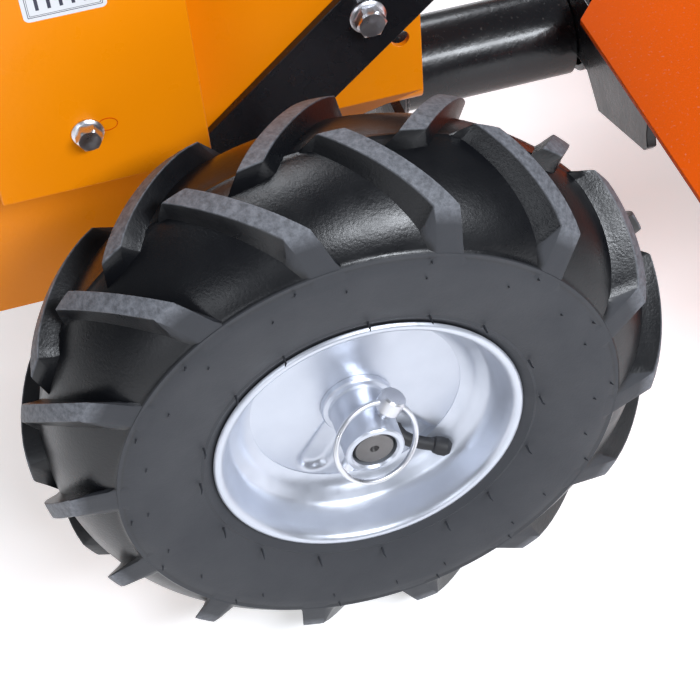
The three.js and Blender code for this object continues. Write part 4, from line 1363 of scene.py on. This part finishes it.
@dataclass
class Engine:
    """The engine's castings, shroud, tank, muffler, air cleaner and starter handle."""

    crank_x: float = -104.0
    crank_z: float = 546.0
    fan_z: float = 550.0
    shroud_y: float = 92.3
    tank_x: tuple[float, float] = (-205.0, 20.0)
    tank_y: tuple[float, float] = (-92.0, 138.0)
    tank_z: tuple[float, float] = (664.0, 750.0)
    seam: float = 700.0
    cap: tuple[float, float] = (-92.0, 22.0)
    knob: tuple[float, float] = (69.0, 106.0)
    starter: tuple[float, float, float] = (-190.0, 132.0, 620.0)

    def block(self) -> None:
        """The crankcase and cylinder with their cover bolts."""
        crank = (self.crank_x, 0, self.crank_z)
        bolt = hexagon_bolt(8.0, 6.0, 5.0, Axis.Y, (62.0, -76.2, 0.0), -1)
        profile = [(20, -80.5), (64, -80.5), (67, -78.5), (67, -74.0), (20, -74.0)]
        cover = Shape().lathe(profile, Axis.Y, crank, 72)
        bolts = ring_of(bolt, 6, Axis.Y, crank, Finish.ZINC, 0.4)
        round_off("engine_block", Finish.ALLOY, 1.2, cover.tidy().mesh("cover"))
        piece("engine_cover_bolts", Shape().add(bolts), "frame", Finish.ZINC)

    def shroud(self) -> None:
        """The cooling shroud: a domed drum with a slotted grille on the starter."""
        y = self.shroud_y
        fan = (self.crank_x, 0, self.fan_z)
        drum = [(60, y), (96, y), (96, y + 34), (93.5, y + 41), (88, y + 45.5), (80, y + 46), (60, y + 46)]
        dome = [(57.5, y + 48), (56.5, y + 56), (53, y + 60.5), (46, y + 61.4), (0, y + 61.6), (0, y)]
        shell = Shape().lathe([*drum, *dome], Axis.Y, fan, 96)
        piece("fan_shroud_domed", shell, "frame", Finish.BLACK, "fan_shroud")
        slot = Shape().box((64.0, 86.0), (y + 45.0, y + 47.2), (-1.5, 1.5))
        ribs = Shape().add(ring_of(slot, 40, Axis.Y, fan, Finish.PLASTIC))
        fin = Shape().box((14.0, 50.0), (y + 60.6, y + 63.0), (-1.6, 1.6))
        ribs.add(ring_of(fin, 16, Axis.Y, fan, Finish.PLASTIC))
        button = [(0, y + 61), (12, y + 61), (12, y + 63.6), (10.5, y + 64.4), (0, y + 64.4)]
        ribs.lathe(button, Axis.Y, fan, 48)
        piece("fan_grille", ribs, "frame", Finish.PLASTIC, edge=0.4)

    def tank(self) -> None:
        """The pressed fuel tank with a crimped seam, and its ribbed cap."""
        low, high = self.tank_z
        seam = self.seam
        lower = [(low, 14.0), (low + 3, 6.0), (low + 10, 2.5)]
        crimp = [(seam - 3, 2.0), (seam - 2.5, 0.0), (seam + 2.5, 0.0), (seam + 3, 2.0)]
        upper = [(high - 22, 3.0), (high - 10, 7.0), (high - 4, 13.0), (high - 1, 22.0), (high, 36.0)]
        tank = pressed_box(self.tank_x, self.tank_y, 36.0, [*lower, *crimp, *upper], 12, ease=0.2)
        piece("fuel_tank_pressed", tank, "frame", Finish.PANEL, "fuel_tank", soft=PRESSED)
        centre = (*self.cap, 0.0)
        skirt = [(0, 750.3), (25.6, 750.3), (25.6, 763.5), (23.5, 766.0), (20.0, 767.0)]
        cap = Shape().lathe([*skirt, (19.0, 770.3), (16.0, 771.2), (0, 771.2)], Axis.Z, centre, 72)
        rib = Shape().bar([(25.4, 0, 751.5), (25.4, 0, 763.0)], 1.4, 8)
        cap.add(ring_of(rib, 28, Axis.Z, centre, Finish.PLASTIC))
        piece("fuel_cap_ribbed", cap, "fuel_cap", Finish.PLASTIC, "fuel_cap")

    def fittings(self) -> None:
        """Muffler with its heat guard, air cleaner with its knob, and the starter handle."""
        levels = [(606, 8.0), (608, 3.0), (613, 0.5), (684, 0.5), (688, 3.0), (690, 8.0)]
        muffler = pressed_box((24, 118), (-116, -50.3), 20, levels)
        piece("muffler_pressed", muffler, "frame", Finish.IRON, "muffler", soft=PRESSED)
        slot = Shape().prism(rounded_outline((-2.6, 2.6), (-11.0, 11.0), 2.6), Axis.Y, -120.0, -115.0)
        louvres = Shape()
        for z in (632.0, 664.0):
            first = Shape().join(slot).moved(Matrix.Translation((36.0, 0, z)))
            louvres.add(row_of(first, 8, (10.0, 0, 0), Finish.STEEL))
        piece("muffler_guard_louvres", louvres, "frame", Finish.STEEL, edge=0.8)
        base = [(604, 6.0), (607, 2.0), (612, 0.5), (668, 0.5), (668.5, 2.2)]
        lid = [(671.5, 2.2), (672, 0.0), (690, 0.5), (697, 4.0), (699.5, 10.0), (700, 20.0)]
        cleaner = pressed_box((26, 112), (66.3, 146), 22, [*base, *lid], 10)
        piece("air_cleaner_box", cleaner, "frame", Finish.PLASTIC, "air_cleaner", soft=PRESSED)
        centre = (*self.knob, 0.0)
        profile = [(0, 699.8), (11, 699.8), (11, 708), (9, 710), (0, 710)]
        knob = Shape().lathe(profile, Axis.Z, centre, 48)
        lobe = Shape().bar([(11, 0, 701), (11, 0, 708.6)], 2.2, 10)
        knob.add(ring_of(lobe, 7, Axis.Z, centre, Finish.PLASTIC))
        piece("air_cleaner_knob", knob, "frame", Finish.PLASTIC)
        half = [(12, 7.4), (26, 8.4), (32, 7.0), (33, 5.0)]
        stops = [*[(-y, r) for y, r in reversed(half)], (0, 7.8), *half]
        x, middle, z = self.starter
        handle = Shape().bar([(x, middle + y, z) for y, _ in stops], [r for _, r in stops], 28)
        handle.bar([(x, middle, z), (x + 6, middle, z), (x + 16, middle, z)], [7.0, 6.0, 4.2], 20)
        piece("starter_grip", handle, "recoil_handle", Finish.PLASTIC, "recoil_handle")

    def build(self) -> None:
        """Makes the engine's pieces."""
        self.block()
        self.shroud()
        self.tank()
        self.fittings()


# ---------- handlebars ----------


@dataclass
class Handlebars:
    """The two bent bars, their ribbed grips, and the hand levers."""

    pivot: tuple[float, float, float] = (-214.0, 0.0, 470.0)
    tube: float = 14.0
    grip_length: float = 125.0
    grip_radius: float = 19.0
    slope: float = math.atan2(60.0, 200.0)
    hand: float = 250.0  # from the middle to each grip
    grip_middle: tuple[float, float] = (-641.0, 510.4)  # from the pivot
    lever_pivot: tuple[float, float] = (-555.0, 460.8)
    lever_droop: float = 0.42

    def bar(self, side: Side) -> None:
        """One handlebar tube with a plugged end."""
        hand = self.hand
        bends = [(-34, 66, 2), (-80, 92, 62), (-230, 205, 270), (-420, hand, 430), (-560, hand, 486)]
        line = [*bends, (-625, hand, 505.5), (-690, hand, 525)]
        path = smooth_path([Vector(self.pivot) + Vector((x, y * side.value, z)) for x, y, z in line], 10)
        piece(f"handlebar_{side.word}_bent", Shape().bar(path, self.tube, 32), "handlebar", Finish.BLACK,
              f"handlebar_{side.word}")

    def grip(self, side: Side) -> None:
        """A ribbed rubber grip with a flange at its front and a closed end."""
        half, r = self.grip_length / 2, self.grip_radius
        flange = [(14.2, half), (r, half), (r, half - 3), (r - 2.4, half - 5)]
        end = [(r - 2.4, 8 - half), (r - 1, 3 - half), (r - 5, -half), (0, -half)]
        sleeve = Shape().lathe([*flange, *end, (0, 3 - half), (14.2, 3 - half)], Axis.X, (0, 0, 0), 56)
        rib = Shape().hoop(r - 2.6, 1.3, Axis.X, (half - 12.0, 0, 0), 40, 8)
        sleeve.add(row_of(rib, 21, (-5.0, 0, 0), Finish.SOFT))
        x, z = self.grip_middle
        place = Matrix.Translation(Vector(self.pivot) + Vector((x, self.hand * side.value, z)))
        sleeve.moved(place @ Matrix.Rotation(self.slope, 4, "Y"))
        piece(f"grip_{side.word}_ribbed", sleeve, "handlebar", Finish.SOFT, f"grip_{side.word}")

    def lever(self, side: Side, name: str) -> None:
        """A pressed hand lever with a curled tip and a pivot boss."""
        line = [(6, 0, 0), (-8, 0, 1.5), (-40, 0, 4), (-90, 0, 1), (-132, 0, -1), (-150, 0, 3)]
        path = smooth_path(line, 8)
        widths = [1.0 if i < len(path) - 4 else 1.15 for i in range(len(path))]
        shape = Shape().bar(path, [4.4 * w for w in widths], 20)
        shape.moved(Matrix.Diagonal((1.0, 1.5, 0.85, 1.0)))
        shape.lathe([(2.6, -8), (7.2, -8), (8, -7), (8, 7), (7.2, 8), (2.6, 8)], Axis.Y, (0, 0, 0), 40)
        x, z = self.lever_pivot
        place = Matrix.Translation(Vector(self.pivot) + Vector((x, self.hand * side.value, z)))
        shape.moved(place @ Matrix.Rotation(self.slope - self.lever_droop, 4, "Y"))
        piece(f"{name}_pressed", shape, name, Finish.ZINC, name)

    def build(self) -> None:
        """Makes the handlebars."""
        for side, name in ((Side.RIGHT, "blade_lever"), (Side.LEFT, "drive_lever")):
            self.bar(side)
            self.grip(side)
            self.lever(side, name)
        round_off("handlebar_bridge", Finish.BLACK, 2.0)


# ---------- deck ----------


@dataclass
class Deck:
    """The brush deck: folded shell, spindle box, blade disc, knives, skids, push bar and flap."""

    spindle_x: float = 625.0
    top: float = 236.0
    front: float = 900.0
    half: float = 290.0
    bar_half: float = 240.0
    tube_height: float = 183.0

    def shell(self) -> None:
        """The folded shell with the bolts that hold the spindle box and the push bar's feet."""
        round_off("deck_shell", Finish.DECK, 1.6)
        bolts = Shape()
        head = hexagon_bolt(13.0, 9.5, 7.0, Axis.Z, (62.0, 0.0, self.top - 0.1), 1)
        bolts.add(ring_of(head, 6, Axis.Z, (self.spindle_x, 0.0, 0.0), Finish.ZINC, math.pi / 6))
        for side in Side:
            place = (self.front - 128.0, side.value * self.bar_half, self.top - 0.1)
            foot = hexagon_bolt(10.0, 7.5, 6.0, Axis.Z, place, 1)
            bolts.add(row_of(foot, 2, (56.0, 0, 0), Finish.ZINC))
            place = (440.0, side.value * (self.half + 6.2), 100.0)
            skid = hexagon_bolt(10.0, 7.5, 6.0, Axis.Y, place, side.value)
            bolts.add(row_of(skid, 4, (110.0, 0, 0), Finish.ZINC))
        piece("deck_bolts", bolts, "deck", Finish.ZINC)

    def tube(self) -> None:
        """The deck's half of the neck tube and the wing bracket in front of it."""
        x0, x1 = 242.8, 564.8
        profile = [(27.5, x0), (31.0, x0), (31.75, x0 + 0.8), (31.75, x1), (27.5, x1)]
        shape = Shape().lathe(profile, Axis.X, (0, 0, self.tube_height), 96)
        piece("deck_tube_round", shape, "deck", Finish.BLACK, "deck_tube")
        round_off("deck_bracket", Finish.BLACK, 0.9)

    def flap(self) -> None:
        """The rubber flap at the front with moulded ribs and its hinge rod."""
        x, wide = self.front + 7.0, self.half - 64.0
        shape = Shape().box((x - 2.4, x + 2.4), (-wide, wide), (76.0, 222.0))
        rib = Shape().box((x + 2.2, x + 3.6), (-wide + 6.0, -wide + 10.0), (82.0, 212.0))
        shape.add(row_of(rib, 23, (0, 20.0, 0), Finish.SOFT))
        shape.rod(6.0, Axis.Y, -wide, wide, (x, 225.0), 32)
        piece("front_flap_ribbed", shape, "front_flap", Finish.SOFT, "front_flap", edge=0.6)

    def bar(self) -> None:
        """The round push bar that bends brush over in front of the deck."""
        half, top, foot = self.bar_half, self.top, self.front - 100
        right = [(0, -half, 0), (6, 2 - half, 60), (40, 40 - half, 112)]
        line = [*right, (60, 0, 120), *[(x, -y, z) for x, y, z in reversed(right)]]
        path = smooth_path([(foot + x, y, top + 1.0 + z) for x, y, z in line], 12)
        shape = Shape().bar(path, 11.0, 28)
        weld = [(10.0, top), (15.0, top), (13.6, top + 2.6), (11.0, top + 4.4), (10.0, top + 4.4)]
        for side in Side:
            shape.lathe(weld, Axis.Z, (foot, side.value * half, 0), 40)
        piece("brush_bar_bent", shape, "deck", Finish.BLACK, "brush_bar")

    def build(self) -> None:
        """Makes the deck's pieces."""
        self.shell()
        self.tube()
        self.flap()
        self.bar()


# ---------- stage ----------


@dataclass
class Stage:
    """The pale floor, the soft lamps and the camera."""

    floor_half: float = 30.0
    lens: float = 80.3
    eye: tuple[float, float, float] = (-0.1174, -0.8576, 0.6694)  # from the wheel axle, in metres
    heading: float = -11.63
    down: float = 47.24
    roll: float = -5.76
    lamp_tint: tuple[float, float, float] = (0.9, 0.94, 1.0)

    def floor(self) -> None:
        """A plain floor at the foot of the machine."""
        mesh = bpy.data.meshes.new("floor")
        h = self.floor_half
        mesh.from_pydata([(-h, -h, 0), (h, -h, 0), (h, h, 0), (-h, h, 0)], [], [(0, 1, 2, 3)])
        pale = Plastic("Pale floor", (0.93, 0.93, 0.94), gloss=0.85, grain=40.0, depth=0.0, glow=0.55)
        mesh.materials.append(moulded_plastic(pale))
        floor = bpy.data.objects.new("floor", mesh)
        bpy.context.scene.collection.objects.link(floor)

    def lamp(self, name: str, place: Point, aim: Point, size: Point, power: float) -> None:
        """A rectangular soft lamp."""
        light = bpy.data.lights.new(name, "AREA")
        light.shape = "RECTANGLE"
        light.size, light.size_y = size
        light.energy = power
        light.color = self.lamp_tint
        obj = bpy.data.objects.new(name, light)
        obj.location = Vector(place)
        obj.rotation_euler = (Vector(aim) - Vector(place)).to_track_quat("-Z", "Y").to_euler()
        bpy.context.scene.collection.objects.link(obj)

    def camera(self) -> None:
        """The camera above the right wheel."""
        data = bpy.data.cameras.new("camera")
        data.lens = self.lens
        data.clip_start = 0.01
        camera = bpy.data.objects.new("camera", data)
        away, down = math.radians(self.heading), math.radians(self.down)
        back = Vector((math.sin(away) * math.cos(down), -math.cos(away) * math.cos(down), math.sin(down)))
        camera.rotation_mode = "QUATERNION"
        turn = (-back).to_track_quat("-Z", "Y").to_matrix() @ Matrix.Rotation(math.radians(self.roll), 3, "Z")
        camera.rotation_quaternion = turn.to_quaternion()
        camera.location = AXLE + Vector(self.eye)
        bpy.context.scene.collection.objects.link(camera)
        bpy.context.scene.camera = camera

    def build(self) -> None:
        """Sets the stage."""
        self.floor()
        self.camera()
        self.lamp("key lamp", (0.65, -1.5, 1.5), (0.1, -0.15, 0.25), (1.0, 0.3), 34.0)
        self.lamp("lamp above", (-0.3, 0.3, 2.0), (0, -0.1, 0.2), (0.8, 0.6), 16.0)
        self.lamp("lamp behind", (0.25, 1.6, 1.6), (0.1, 0, 0.2), (0.9, 0.45), 18.0)
        self.lamp("lamp left", (-1.3, -2.0, 0.9), (0, -0.2, 0.3), (1.0, 0.8), 8.0)
        world = bpy.data.worlds.new("studio")
        bpy.context.scene.world = world
        world.use_nodes = True
        world.node_tree.nodes["Background"].inputs["Color"].default_value = (0.93, 0.95, 1.0, 1.0)
        world.node_tree.nodes["Background"].inputs["Strength"].default_value = 0.16
        bpy.context.scene.view_settings.view_transform = "Standard"


# ---------- the machine ----------


def plain_nodes() -> None:
    """Rounds the CAD nodes that no other class has dressed, or gives inner parts their finish."""
    for part in frame["record"]["subparts"]:
        if not frame["nodes"][part["node"]].hide_render:
            round_off(part["node"], Finish(part["material_slot"]), 0.8)


def main() -> None:
    """Builds the stage and the machine."""
    Stage().build()
    for side in Side:
        Wheel(side).build()
    Panels().build()
    Neck().build()
    Engine().build()
    Handlebars().build()
    Deck().build()
    plain_nodes()


if __name__ == "__main__":
    main()
